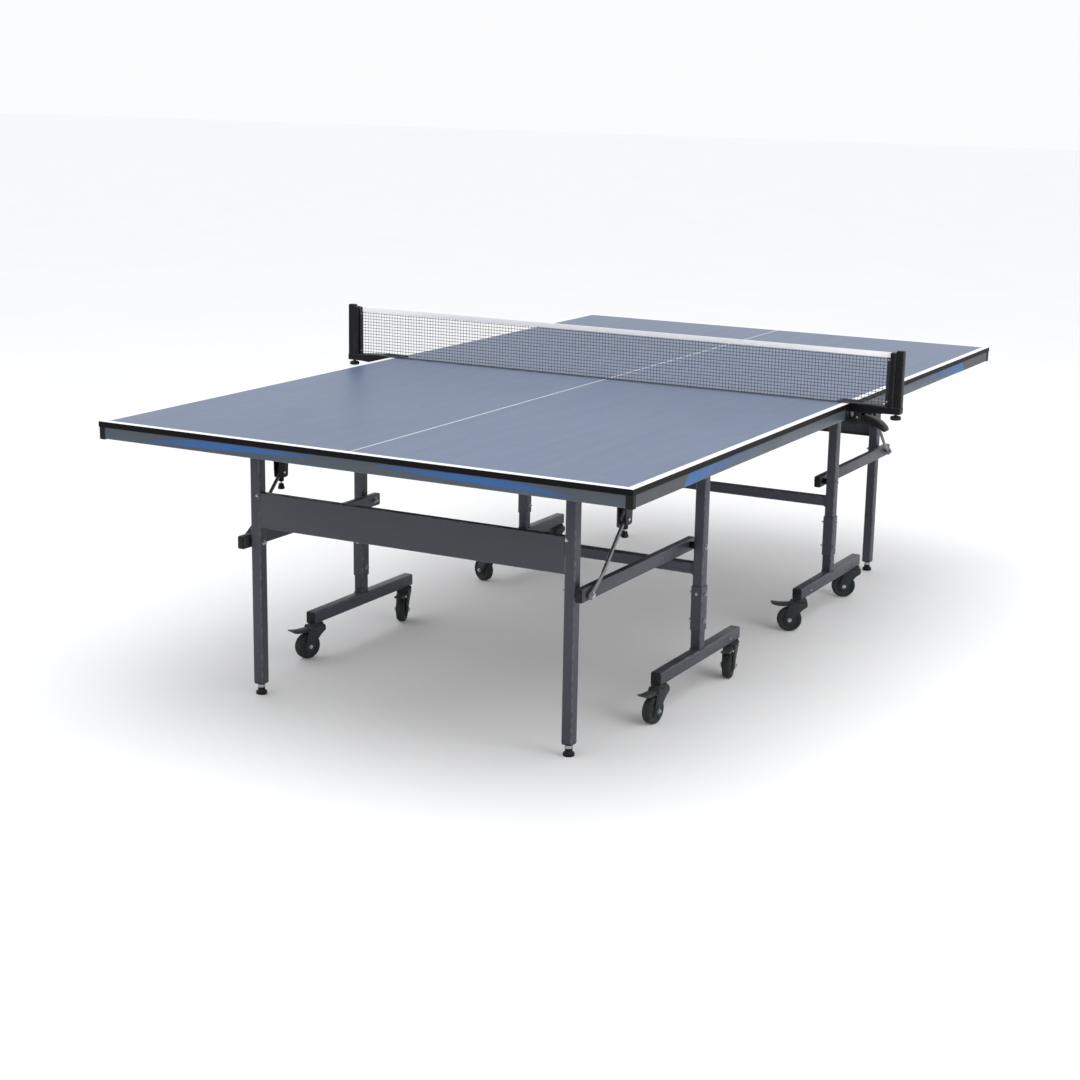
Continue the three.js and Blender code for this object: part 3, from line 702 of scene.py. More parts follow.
def net_cord():
    """Twisted polyester cord: slanting strands along each cord, a colour lighter on the raised side of each
    twist as a painted highlight, broken up by a tone that varies from fibre to fibre, and a soft sheen."""
    material, tree, shader = start_material("Net Cord", Sheen_Weight=0.3, Sheen_Roughness=0.5)
    place = object_place(tree)
    twist = add(tree, "ShaderNodeTexWave", {"Vector": place, "Scale": 420.0, "Distortion": 1.5},
                wave_type="BANDS", bands_direction="DIAGONAL").outputs["Fac"]
    fibres = noise(tree, place, 700.0, 3.0)
    # painted highlight: the raised side of each twist is lightened, broken up by a tone that varies from
    # fibre to fibre
    share = math_node(tree, "MULTIPLY", twist, ramp(tree, fibres, 0.3, 0.7))
    base = mixed(tree, share, (*chosen("net"), 1), (*lighter(chosen("net"), 0.09), 1))
    rough = ramp(tree, fibres, 0.3, 0.7, 0.62, 0.8)
    dressed(tree, shader, base, rough, twist, 0.5, 0.2 * MM)
    return material


def woven(name, colour_name, thread):
    """Plain-woven cloth: two sets of threads, sin(k y) and sin(k z), each on top where their product is
    positive, with painted shade that darkens the colour between the threads, and slightly grubby in patches."""
    material, tree, shader = start_material(name, Sheen_Weight=0.4, Sheen_Roughness=0.4)
    place = object_place(tree)
    per_thread = 2 * math.pi / thread
    spaced = add(tree, "ShaderNodeVectorMath", {0: place, 3: per_thread}, operation="SCALE").outputs[0]
    axes = add(tree, "ShaderNodeSeparateXYZ", {0: spaced}).outputs
    warp = math_node(tree, "SINE", axes[1])
    weft = math_node(tree, "SINE", axes[2])
    over = math_node(tree, "MULTIPLY", math_node(tree, "MULTIPLY", warp, weft), 0.5)
    height = math_node(tree, "ADD", over, 0.5)
    grubby = ramp(tree, noise(tree, place, 18.0, 5.0, 0.65), 0.5, 0.78, 0.0, 0.12)
    cloth = chosen(colour_name)
    # painted shade: the cloth darkens to 0.88 of its colour where the weave is low, between the threads
    base = mixed(tree, ramp(tree, height, 0.1, 0.75), tuple(c * 0.88 for c in cloth) + (1,), (*cloth, 1))
    base = mixed(tree, grubby, base, tuple(c * 0.75 for c in cloth) + (1,))
    rough = ramp(tree, height, 0.0, 1.0, 0.85, 0.7)
    dressed(tree, shader, base, rough, height, 0.5, 0.25 * MM)
    return material


def bright_zinc():
    return grouped_material("Bright Zinc", zinc_plate, {"Colour": chosen("zinc"), "Roughness": 0.28},
                            0.15, 0.06 * MM, Metallic=1.0)


def rod_zinc():
    dull = tuple(c * 0.42 for c in chosen("zinc"))
    return grouped_material("Rod Zinc", zinc_plate, {"Colour": dull, "Roughness": 0.38},
                            0.2, 0.08 * MM, Metallic=0.85)


FINISHES = {
    "board": board_lacquer,
    "lines": line_paint,
    "board_edge": edge_lacquer,
    "underside": board_underside,
    "apron": lambda: steel_finish("Apron Coat", chosen("apron_steel"), 0.40),
    "frame": lambda: steel_finish("Frame Coat", chosen("frame_steel"), 0.44),
    "stripe": stripe_film,
    "dark_film": dark_film,
    "plastic": lambda: plastic_finish("Black Moulding", chosen("plastic"), 0.40),
    "caster": lambda: plastic_finish("Caster Moulding", chosen("caster"), 0.52, 1100.0, 0.14),
    "tyre": tyre_rubber,
    "zinc": bright_zinc,
    "rod": rod_zinc,
    "net": net_cord,
    "tape": lambda: woven("Net Tape", "tape", 0.9 * MM),
    "hem": lambda: woven("Net Hem", "net", 0.9 * MM),
}


def finish_named(name):
    """A finish's material, made the first time it is asked for."""
    made = bpy.context.scene.get("made_finishes") or {}
    label = made[name] if name in made else None
    if label is None:
        label = FINISHES[name]().name
        bpy.context.scene["made_finishes"] = {**dict(made), name: label}
    return bpy.data.materials[label]


# ======================================================================================
# More surfaces
# ======================================================================================
def lofted(stations, axis, finish=0, steps=3):
    """Rounded rectangles joined one after another along an axis. A station is its place along the axis,
    the low and high of the section in the two other directions (in the order X, Y, Z) and its radius."""
    u, v, w = PLANES[axis]
    rows, wears = [], []
    for along, low_a, high_a, low_b, high_b, radius in stations:
        corners = np.array(rectangle(low_a, low_b, high_a, high_b))
        if axis == "y":
            corners = corners[::-1, ::-1]
        outline, wear = softened(corners, radius, steps)
        row = np.zeros((len(outline), 3))
        row[:, [u, v]], row[:, w] = outline, along
        rows.append(row)
        wears.append(wear)
    return skin(np.array(rows), np.array(wears), finish)


def fluted(profile, centre, axis, flutes, depth, direction=1, finish=0):
    """A turned profile whose radius swells and shrinks round it: r (1 + depth cos(flutes a))."""
    patch = turned(profile, centre, axis, direction, flutes * 4, finish)
    u, v, _ = PLANES[axis]
    points = patch["points"] - np.asarray(centre, float)
    angle = np.arctan2(points[:, v], points[:, u])
    points[:, [u, v]] *= (1 + depth * np.cos(flutes * angle))[:, None]
    return {**patch, "points": points + np.asarray(centre, float)}


def repeated(patch, offsets):
    """The same surface at every offset, as one patch."""
    offsets = np.asarray(offsets, float)
    count = len(patch["points"])
    points = (patch["points"][None] + offsets[:, None]).reshape(-1, 3)
    faces = [[k + n * count for k in face] for n in range(len(offsets)) for face in patch["faces"]]
    return {"points": points, "wear": np.tile(patch["wear"], len(offsets)), "faces": faces,
            "finish": patch["finish"]}


def plugged_tube(low, high, axis, corner, plug_low=True, plug_high=True):
    """A square tube with rounded corners, and a plastic plug in each end that is named. The plug's flange
    is a little smaller than the tube and stands out of it."""
    w = "xyz".index(axis)
    low, high = np.array(low), np.array(high)
    inner_low, inner_high = low.copy(), high.copy()
    inner_low[w] += PLUG_FLANGE * plug_low
    inner_high[w] -= PLUG_FLANGE * plug_high
    patches = [bar(inner_low, inner_high, axis, corner, SOFT_EDGE * 0.6, 0, 4)]
    shrink = np.full(3, 0.7 * MM)
    shrink[w] = 0
    for wanted, start, end in ((plug_low, low[w], inner_low[w]), (plug_high, inner_high[w], high[w])):
        if wanted:
            plug_from, plug_to = low + shrink, high - shrink
            plug_from[w], plug_to[w] = start, end
            patches.append(bar(plug_from, plug_to, axis, corner, SOFT_EDGE, 1, 4))
    return patches


# ======================================================================================
# The playing surface and the steel under it
# ======================================================================================
def board_patches(low, high, outer_x, sizes):
    """A board cut along its lines: the top is a grid whose cells are lacquer or line paint, the bottom
    is the same grid turned over, and the sides join the two outlines."""
    inset = outer_x - math.copysign(sizes.border_line, outer_x)
    x = np.sort([low[0], high[0], inset])
    half_line = sizes.centre_line / 2
    y = np.array([low[1], low[1] + sizes.border_line, -half_line, half_line,
                  high[1] - sizes.border_line, high[1]])
    grid_x, grid_y = np.meshgrid(x, y, indexing="ij")
    count = grid_x.size
    points = np.concatenate([np.stack([grid_x, grid_y, np.full_like(grid_x, z)], -1).reshape(-1, 3)
                             for z in (high[2], low[2])])
    i, j = np.meshgrid(np.arange(len(x) - 1), np.arange(len(y) - 1), indexing="ij")
    a = i * len(y) + j
    top = np.stack([a, a + len(y), a + len(y) + 1, a + 1], -1).reshape(-1, 4)
    middle_x = (x[i] + x[i + 1]) / 2
    on_line = (j % 2 == 0) | (np.abs(middle_x) > abs(inset))
    bottom = top[:, ::-1] + count
    index = np.arange(count).reshape(len(x), len(y))
    ring = np.concatenate([index[:-1, 0], index[-1, :-1], index[:0:-1, -1], index[0, :0:-1]])
    after = np.roll(ring, -1)
    sides = np.stack([ring, ring + count, after + count, after], -1)
    faces = np.concatenate([top, bottom, sides]).tolist()
    finish = np.concatenate([np.where(on_line, 1, 0).reshape(-1), np.full(len(bottom), 3),
                             np.full(len(sides), 2)])
    return [{"points": points, "wear": np.zeros(len(points)), "faces": faces, "finish": finish}]


class TABLE_OT_boards(bpy.types.Operator):
    """The two boards of the playing surface, with their lines"""
    bl_idname = "tennis_table.boards"
    bl_label = "Playing Surface"

    def execute(self, context):
        sizes = context.scene.table_top_sizes
        for prefix, half in HALVES.items():
            low, high = box(f"{prefix}_tabletop")
            outer_x = high[0] if half > 0 else low[0]
            piece = make_piece(f"{prefix}_board", board_patches(low, high, outer_x, sizes),
                               ("board", "lines", "board_edge", "underside"),
                               f"{prefix}_top", (f"{prefix}_tabletop",))
            edge = piece.modifiers.new("board_edge", "BEVEL")
            edge.width, edge.segments, edge.limit_method = sizes.board_edge, 2, "ANGLE"
            edge.harden_normals = True
        return {"FINISHED"}


def apron_section(sizes, offset=0.0):
    """The apron's steel in section: a wall with a lip turned inwards at the bottom. Outward distance
    first, then height above the apron's lower edge."""
    height, wall, flange = sizes.apron_height, sizes.apron_wall, sizes.apron_flange
    corners = np.array([(0, 0), (0, height), (-wall, height), (-wall, wall), (-flange, wall), (-flange, 0)])
    return softened(corners + (offset, 0), [3 * MM, 0.6 * MM, 0.6 * MM, 1 * MM, 0.6 * MM, 0.6 * MM], 3)


def apron_ring(low, high, bottom, sizes):
    """The apron's section carried round the half, with a mitre at each corner: the corner plus the
    outward distance along both walls' outward directions."""
    corners = np.array([(low[0], high[1]), (high[0], high[1]), (high[0], low[1]), (low[0], low[1])])
    outward = np.array([(-1, 1), (1, 1), (1, -1), (-1, -1)])
    section, wear = apron_section(sizes)
    rows = np.zeros((4, len(section), 3))
    rows[:, :, :2] = corners[:, None] + section[None, :, :1] * outward[:, None]
    rows[:, :, 2] = bottom + section[:, 1]
    return skin(rows, wear[None], 0, True)


def cross_rail(x, low_y, high_y, bottom, top, sizes):
    """A channel across the half that opens downwards."""
    half, wall = sizes.rail_width / 2, sizes.apron_wall
    corners = [(x - half, bottom), (x - half + wall, bottom), (x - half + wall, top - wall),
               (x + half - wall, top - wall), (x + half - wall, bottom), (x + half, bottom),
               (x + half, top), (x - half, top)]
    radii = np.array([0.5, 0.5, 0.6, 0.6, 0.5, 0.5, 3, 3]) * MM
    return extruded(corners, radii, (low_y, high_y), "y", FINE_EDGE)


LUG_HALF = 20 * MM
LUG_CORNER = 11 * MM
LUG_TOP_CORNER = 0.5 * MM
HINGE_REACH = 17 * MM
HINGE_WALL = 3 * MM
HINGE_PIN = 3.9 * MM


def lug(x, inner_y, outer_y, bottom, top):
    """One hinge plate with its lower corners rounded off."""
    radii = np.array([LUG_CORNER, LUG_CORNER, LUG_TOP_CORNER, LUG_TOP_CORNER])
    return extruded(rectangle(x - LUG_HALF, bottom, x + LUG_HALF, top), radii, (inner_y, outer_y), "y",
                    FINE_EDGE, 0, 5)


def hinge_patches(x, y, pivot_z, bottom, top):
    """Two lugs round a tube, the pin through them, its head and its nut. Drawn for positive X and Y."""
    first, last = y - HINGE_REACH - HINGE_WALL, y + HINGE_REACH + HINGE_WALL
    patches = [lug(x, first, y - HINGE_REACH, bottom, top), lug(x, y + HINGE_REACH, last, bottom, top)]
    patches.append(pin(HINGE_PIN, -HINGE_REACH - HINGE_WALL, HINGE_REACH + HINGE_WALL, (x, y, pivot_z), "y"))
    patches += bolt((x, last, pivot_z), "y", 1, BOLT_RADIUS, 1)
    patches += nut_and_end((x, first, pivot_z), "y", -1, BOLT_RADIUS, 1)
    return patches


def corner_guard(corner, outward, bottom, height, reach):
    """A moulded angle over an apron corner: a C section carried from one wall to the other round a
    quarter circle of 3 mm."""
    thick, lip, turn = 1.7 * MM, 8 * MM, 3 * MM
    section = np.array([(thick, -1.4 * MM), (thick, height), (0.15 * MM, height), (0.15 * MM, -0.15 * MM),
                        (-lip, -0.15 * MM), (-lip, -1.4 * MM)])
    outline, wear = softened(section, [1.4 * MM, 0.5 * MM, 0.2 * MM, 0.2 * MM, 0.4 * MM, 0.4 * MM], 3)
    angle = np.radians(np.linspace(90, 0, 7))
    around = np.stack([np.cos(angle), np.sin(angle)], 1)
    across = np.concatenate([[(0, 1)], around, [(1, 0)]])
    centre = np.array([-turn, -turn])
    path = np.concatenate([[centre + (turn - reach, turn)], centre + turn * around,
                           [centre + (turn, turn - reach)]])
    rows = np.zeros((len(path), len(outline), 3))
    rows[:, :, :2] = path[:, None] + outline[None, :, :1] * across[:, None]
    rows[:, :, 2] = bottom + outline[:, 1]
    patch = skin(rows, wear[None], 0)
    if outward[0] < 0:
        patch = flipped(patch)
    if outward[1] < 0:
        patch = mirrored(patch)
    return {**patch, "points": patch["points"] + (corner[0], corner[1], 0)}


class TABLE_OT_aprons(bpy.types.Operator):
    """The steel apron under each board, its rails, hinge lugs and pins, and its corner guards"""
    bl_idname = "tennis_table.aprons"
    bl_label = "Aprons"

    def execute(self, context):
        sizes = context.scene.table_top_sizes
        for prefix, half in HALVES.items():
            low, high = box(f"{prefix}_apron")
            top = high[2]
            bottom = top - sizes.apron_height
            post_x, _, pivot_z = np.abs(JOINTS[f"{prefix}_tilt"]["pos_m"])
            leg_x = abs(JOINTS[f"{prefix}_legs_fold"]["pos_m"][0])
            post_y = np.mean([corner[1] for corner in box(f"{prefix}_foot_left")])
            leg_y = np.mean([corner[1] for corner in box(f"{prefix}_leg_left")])
            patches = [apron_ring(low, high, bottom, sizes)]
            reach = high[1] - sizes.apron_wall
            for x in (post_x, leg_x):
                patches.append(cross_rail(half * x, -reach, reach, bottom + 0.4 * MM, top - 0.4 * MM, sizes))
            for side in SIDES.values():
                for x, y in ((post_x, post_y), (leg_x, leg_y)):
                    hinge = hinge_patches(x, y, pivot_z, low[2], top - HINGE_WALL)
                    patches += on_side(hinge, half, side)
            make_piece(f"{prefix}_apron_frame", patches, ("apron", "zinc"), f"{prefix}_top",
                       (f"{prefix}_apron",))
            ends, flanks = ((low[0], -1), (high[0], 1)), ((low[1], -1), (high[1], 1))
            guards = [corner_guard((x, y), (sign_x, sign_y), bottom, sizes.apron_height - 0.3 * MM,
                                   sizes.corner_guard)
                      for x, sign_x in ends for y, sign_y in flanks]
            make_piece(f"{prefix}_corner_guards", guards, ("plastic",), f"{prefix}_top")
        return {"FINISHED"}


def band(along, low, high, plane, axis, facing, glow):
    """A film between two curves on a flat face, 0.25 mm thick: row k has its corners at
    (along[k], low[k]) and (along[k], high[k]) in front and behind. Glow is kept as the piece's wear."""
    back, front = plane, plane + facing * 0.25 * MM
    rows = np.zeros((len(along), 4, 3))
    a = 1 if axis == "x" else 0
    w = "xyz".index(axis)
    rows[:, :, a] = along[:, None]
    rows[:, :, 2] = np.stack([low, high, high, low], 1)
    rows[:, :, w] = [front, front, back, back]
    patch = skin(rows, np.broadcast_to(glow[:, None], rows.shape[:2]))
    inside_out = (axis == "x") == (facing > 0)
    if inside_out:
        return patch
    return {**patch, "faces": [face[::-1] for face in patch["faces"]]}


def end_band(y_sign, x, facing, bottom, height):
    """A blade along the end apron: from s = 0 near the middle to s = 1 near the corner its upper edge
    stays at the top and then falls as a cosine, and its lower edge falls steadily, to meet in a point."""
    s = np.linspace(0, 1, 41)
    y = y_sign * (85 * MM + 550 * MM * s)
    fall = np.clip((s - 0.62) / 0.38, 0, 1)
    upper = 0.94 - 0.78 * (1 - np.cos(fall * np.pi / 2))
    lower = np.minimum(0.80 - 0.60 * s ** 0.5, upper - 0.005)
    glow = np.clip(0.35 + 0.65 * np.sin(np.pi * s), 0, 1)
    order = slice(None) if y_sign > 0 else slice(None, None, -1)
    return band(y[order], (bottom + height * lower)[order], (bottom + height * upper)[order],
                x, "x", facing, glow[order])


def side_band(half, y, facing, bottom, height):
    """A wedge along the side apron: it starts at full height with a slant, then its lower edge rises
    towards the upper one as s to the power 0.8, and its colour fades into the steel's towards the net."""
    s = np.linspace(0, 1, 41)
    x = half * (1100 * MM - 640 * MM * s)
    upper = np.minimum(0.97, 0.02 + s / 0.045)
    lower = np.minimum(0.02 + 0.78 * np.clip((s - 0.10) / 0.90, 0, 1) ** 0.8, upper - 0.005)
    glow = np.clip(1.15 - 1.25 * s ** 0.8, 0, 1)
    order = slice(None) if half < 0 else slice(None, None, -1)
    return band(x[order], (bottom + height * lower)[order], (bottom + height * upper)[order],
                y, "y", facing, glow[order])


def dark_band(half, y, facing, bottom, height):
    """The dark film from the wedge's slanted start out to the corner guard."""
    x = half * np.array([1342, 1103, 1096, 1089, 1082, 1074]) * MM
    lower = np.array([0.02, 0.02, 0.24, 0.46, 0.68, 0.92])
    upper = np.full(6, 0.97)
    order = slice(None) if half < 0 else slice(None, None, -1)
    patch = band(x[order], (bottom + height * lower)[order], (bottom + height * upper)[order],
                 y, "y", facing, np.ones(6))
    return {**patch, "finish": 1}


class TABLE_OT_bands(bpy.types.Operator):
    """The blue wedges printed on the aprons"""
    bl_idname = "tennis_table.bands"
    bl_label = "Apron Bands"

    def execute(self, context):
        sizes = context.scene.table_top_sizes
        for prefix, half in HALVES.items():
            low, high = box(f"{prefix}_apron")
            bottom, height = high[2] - sizes.apron_height, sizes.apron_height
            outer_x = high[0] if half > 0 else low[0]
            patches = [end_band(sign, outer_x, half, bottom, height) for sign in (-1, 1)]
            for make in (side_band, dark_band):
                patches += [make(half, sign * high[1], sign, bottom, height) for sign in (-1, 1)]
            make_piece(f"{prefix}_apron_bands", patches, ("stripe", "dark_film"), f"{prefix}_top")
        return {"FINISHED"}


# ======================================================================================
# Legs, end panels and trolleys
# ======================================================================================
class TABLE_OT_legs(bpy.types.Operator):
    """The four folding end legs with their plugs, and the levelling feet screwed into them"""
    bl_idname = "tennis_table.legs"
    bl_label = "End Legs"

    def execute(self, context):
        sizes = context.scene.table_frame_sizes
        for prefix, half in HALVES.items():
            leg_x = abs(JOINTS[f"{prefix}_legs_fold"]["pos_m"][0])
            leg_inner = box(f"{prefix}_leg_left")[0][1]
            link_z = JOINTS[f"{prefix}_link_left_swing"]["pos_m"][2]
            for side_name, side in SIDES.items():
                low, high = box(f"{prefix}_leg_{side_name}")
                tube = plugged_tube(low, high, "z", sizes.tube_corner)
                nut = nut_and_end((leg_x, leg_inner, link_z), "y", -1, 4 * MM, 2)
                tube += on_side(nut, half, side)
                make_piece(f"{prefix}_end_leg_{side_name}", tube, ("frame", "plastic", "zinc"),
                           f"{prefix}_legs", (f"{prefix}_leg_{side_name}",))
                middle = (low + high) / 2
                self.leveller(prefix, side_name, (middle[0], middle[1], 0.0))
        return {"FINISHED"}

    def leveller(self, prefix, side_name, centre):
        """A fluted pad, a lock nut and a threaded stud whose radius ripples along its height."""
        pad = np.array([(12.2, 0), (13.6, 0.5), (14.4, 2.2), (14.4, 7.6), (13.2, 9.8), (10, 12), (9.2, 14),
                        (9.2, 20)]) * MM
        angle = np.radians(np.arange(6) * 60)
        nut = np.asarray(centre[:2]) + 10.6 * MM * np.stack([np.cos(angle), np.sin(angle)], 1)
        ripple = np.arange(45)
        stud = np.stack([np.where(ripple % 2, 3.5, 4.0) * MM, (28 + ripple * 0.6) * MM], 1)
        patches = [fluted(pad, centre, "z", 16, 0.035),
                   extruded(nut, 0.5 * MM, (20 * MM, 28 * MM), "z", SOFT_EDGE, 1, 2),
                   turned(stud, centre, "z", 1, 16, 1)]
        make_piece(f"{prefix}_levelling_foot_{side_name}", patches, ("plastic", "zinc"),
                   f"{prefix}_leveller_{side_name}", (f"{prefix}_leveller_{side_name}",))


class TABLE_OT_panels(bpy.types.Operator):
    """The folded panels between the end legs, with the bolts that hold them"""
    bl_idname = "tennis_table.panels"
    bl_label = "End Panels"

    def execute(self, context):
        wall = context.scene.table_frame_sizes.panel_wall
        for prefix, half in HALVES.items():
            low, high = box(f"{prefix}_end_panel")
            outer, inner = (high[0], low[0]) if half > 0 else (low[0], high[0])
            web = outer - half * wall
            corners = [(outer, low[2]), (outer, high[2]), (inner, high[2]), (inner, high[2] - wall),
                       (web, high[2] - wall), (web, low[2] + wall), (inner, low[2] + wall), (inner, low[2])]
            bends = np.array([3.2, 3.2, 0.5, 0.5, 1, 1, 0.5, 0.5]) * MM
            patches = [extruded(corners, bends, (low[1], high[1]), "y", FINE_EDGE, 0, 4)]
            leg_low, leg_high = box(f"{prefix}_leg_left")
            leg_outer = max(abs(leg_low[0]), abs(leg_high[0]))
            fixings = bolt((leg_outer, leg_low[1] + 6 * MM, high[2] - 8 * MM), "x", 1, 2.4 * MM, 1)
            fixings += bolt((abs(leg_low[0] + leg_high[0]) / 2, leg_low[1], high[2] - 18 * MM), "y", -1,
                            3.6 * MM, 1)
            for side in SIDES.values():
                patches += on_side(fixings, half, side)
            make_piece(f"{prefix}_end_board", patches, ("frame", "zinc"), f"{prefix}_legs",
                       (f"{prefix}_end_panel",))
        return {"FINISHED"}


FOOT_DEPTH = 35 * MM
SEAM_STEP = 0.5 * MM
SLEEVE_SPAN = (190 * MM, 315 * MM)
SLEEVE_HALF = 17.5 * MM
SLEEVE_RIM = 15.4 * MM
SLEEVE_STEP = 2 * MM
SLEEVE_BOLT = 3.6 * MM


class TABLE_OT_trolleys(bpy.types.Operator):
    """The wheeled feet with their posts and sleeves, and the bar that joins each pair"""
    bl_idname = "tennis_table.trolleys"
    bl_label = "Trolleys"

    def execute(self, context):
        sizes = context.scene.table_frame_sizes
        for prefix, half in HALVES.items():
            x = abs(JOINTS[f"{prefix}_tilt"]["pos_m"][0])
            link_z = JOINTS[f"{prefix}_link_left_swing"]["pos_m"][2]
            bar_low, bar_high = box(f"{prefix}_cross_bar")
            bar_z = (bar_low[2] + bar_high[2]) / 2
            tube = plugged_tube(bar_low, bar_high, "y", sizes.tube_corner, False, False)
            for end in (bar_low[1] + sizes.weld / 2, bar_high[1] - sizes.weld / 2):
                tube.append(weld_bead((half * x, end, bar_z), sizes.tube / 2, "y", sizes.weld))
            make_piece(f"{prefix}_joining_bar", tube, ("frame", "plastic"), f"{prefix}_trolley",
                       (f"{prefix}_cross_bar",))
            for side_name, side in SIDES.items():
                low, high = box(f"{prefix}_foot_left")
                patches = on_side(self.foot(x, low, high, bar_z, link_z, sizes), half, side)
                make_piece(f"{prefix}_wheeled_foot_{side_name}", patches, ("frame", "plastic", "zinc"),
                           f"{prefix}_trolley", (f"{prefix}_foot_{side_name}",))
        return {"FINISHED"}

    def foot(self, x, low, high, bar_z, link_z, sizes):
        """The foot bar, the post with its sleeve, the seam above the sleeve, welds and bolts."""
        y, half_tube = (low[1] + high[1]) / 2, sizes.tube / 2
        start, end = x - (high[0] - low[0]) / 2, x + (high[0] - low[0]) / 2
        foot_low, foot_high = low[2], low[2] + FOOT_DEPTH
        sleeve_low, sleeve_high = SLEEVE_SPAN
        patches = plugged_tube((start, y - half_tube, foot_low), (end, y + half_tube, foot_high), "x",
                               sizes.tube_corner)
        around = lambda half, z: ((x - half, y - half, z[0]), (x + half, y + half, z[1]))
        for half, span, edge in ((half_tube, (foot_high, high[2]), SOFT_EDGE * 0.6),
                                 (half_tube + SEAM_STEP, (bar_z - 20 * MM, bar_z - 17.6 * MM), FINE_EDGE)):
            patches.append(bar(*around(half, span), "z", sizes.tube_corner, edge, 0, 4))
        rims = ((sleeve_low, SLEEVE_RIM, 4 * MM), (sleeve_low + SLEEVE_STEP, SLEEVE_HALF, 5 * MM),
                (sleeve_high - SLEEVE_STEP, SLEEVE_HALF, 5 * MM), (sleeve_high, SLEEVE_RIM, 4 * MM))
        rows = [(z, x - half, x + half, y - half, y + half, radius) for z, half, radius in rims]
        patches.append(lofted(rows, "z", 0, 4))
        patches.append(weld_bead((x, y, foot_high), half_tube, "z", sizes.weld))
        upper_bolt = sleeve_high - 22 * MM
        for z in (sleeve_low + 27 * MM, upper_bolt):
            patches += bolt((x, y + SLEEVE_HALF, z), "y", 1, SLEEVE_BOLT, 2)
            patches += nut_and_end((x, y - SLEEVE_HALF, z), "y", -1, SLEEVE_BOLT, 2)
        patches += bolt((x + SLEEVE_HALF, y, upper_bolt), "x", 1, 2.4 * MM, 2)
        patches += bolt((x, y + half_tube, link_z), "y", 1, 4.2 * MM, 2)
        patches += bolt((start + 75 * MM, y + half_tube, (foot_low + foot_high) / 2), "y", 1, 2.6 * MM, 2)
        socket = [(11 * MM, -5 * MM), (13 * MM, -4 * MM), (13 * MM, 0.6 * MM)]
        for direction in (-1, 1):
            patches.append(turned(socket, (x + direction * CASTER_REACH, y, foot_low), "z", 1, 24, 1))
        return patches


def caster_reach():
    """Half the distance between the swivels of one trolley foot."""
    inner, outer = (JOINTS[f"near_left_{end}_swivel"]["pos_m"][0] for end in ("inner", "outer"))
    return abs(inner - outer) / 2


CASTER_REACH = caster_reach()


# ======================================================================================
# Links, safety rods and latches
# ======================================================================================
LINK_SPAN = (495 * MM, 515 * MM)
LINK_CORNER = 3.6 * MM
LINK_BOSS = 9 * MM
TOUCH_GAP = 0.5 * MM
EYE_HALF = 4.4 * MM
# the safety rod's bend: how far in from the eye, and how far above it
ROD_BEND = np.array([-51, 34]) * MM


class TABLE_OT_links(bpy.types.Operator):
    """The parallel links with their end plugs, bosses and pivot bolts"""
    bl_idname = "tennis_table.links"
    bl_label = "Links"

    def execute(self, context):
        for prefix, half in HALVES.items():
            post_x, _, link_z = np.abs(JOINTS[f"{prefix}_link_left_swing"]["pos_m"])
            leg_x = abs(JOINTS[f"{prefix}_legs_fold"]["pos_m"][0])
            rod_x, rod_y, rod_z = np.abs(JOINTS[f"{prefix}_rod_left_swing"]["pos_m"])
            low, high = box(f"{prefix}_link_left")
            start, end = np.sort(np.abs([low[0], high[0]]))
            y_low, y_high = LINK_SPAN
            eye_face = rod_y + EYE_HALF
            patches = plugged_tube((start, y_low, low[2]), (end, y_high, high[2]), "x", LINK_CORNER)
            patches.append(pin(LINK_BOSS, 0, high[1] - y_high - TOUCH_GAP, (post_x, y_high, link_z), "y", 1,
                               1, 24))
            patches.append(pin(LINK_BOSS, 0, y_low - low[1] - TOUCH_GAP, (leg_x, y_low, link_z), "y", 1,
                               -1, 24))
            patches += nut_and_end((post_x, y_low, link_z), "y", -1, 4.0 * MM, 2)
            patches.append(pin(4 * MM, 0, eye_face - y_high, (rod_x, y_high, rod_z), "y", 2))
            patches += bolt((rod_x, eye_face, rod_z), "y", 1, 4.8 * MM, 2)
            for side_name, side in SIDES.items():
                make_piece(f"{prefix}_parallel_link_{side_name}", on_side(patches, half, side),
                           ("frame", "plastic", "zinc"), f"{prefix}_link_{side_name}",
                           (f"{prefix}_link_{side_name}",))
        return {"FINISHED"}


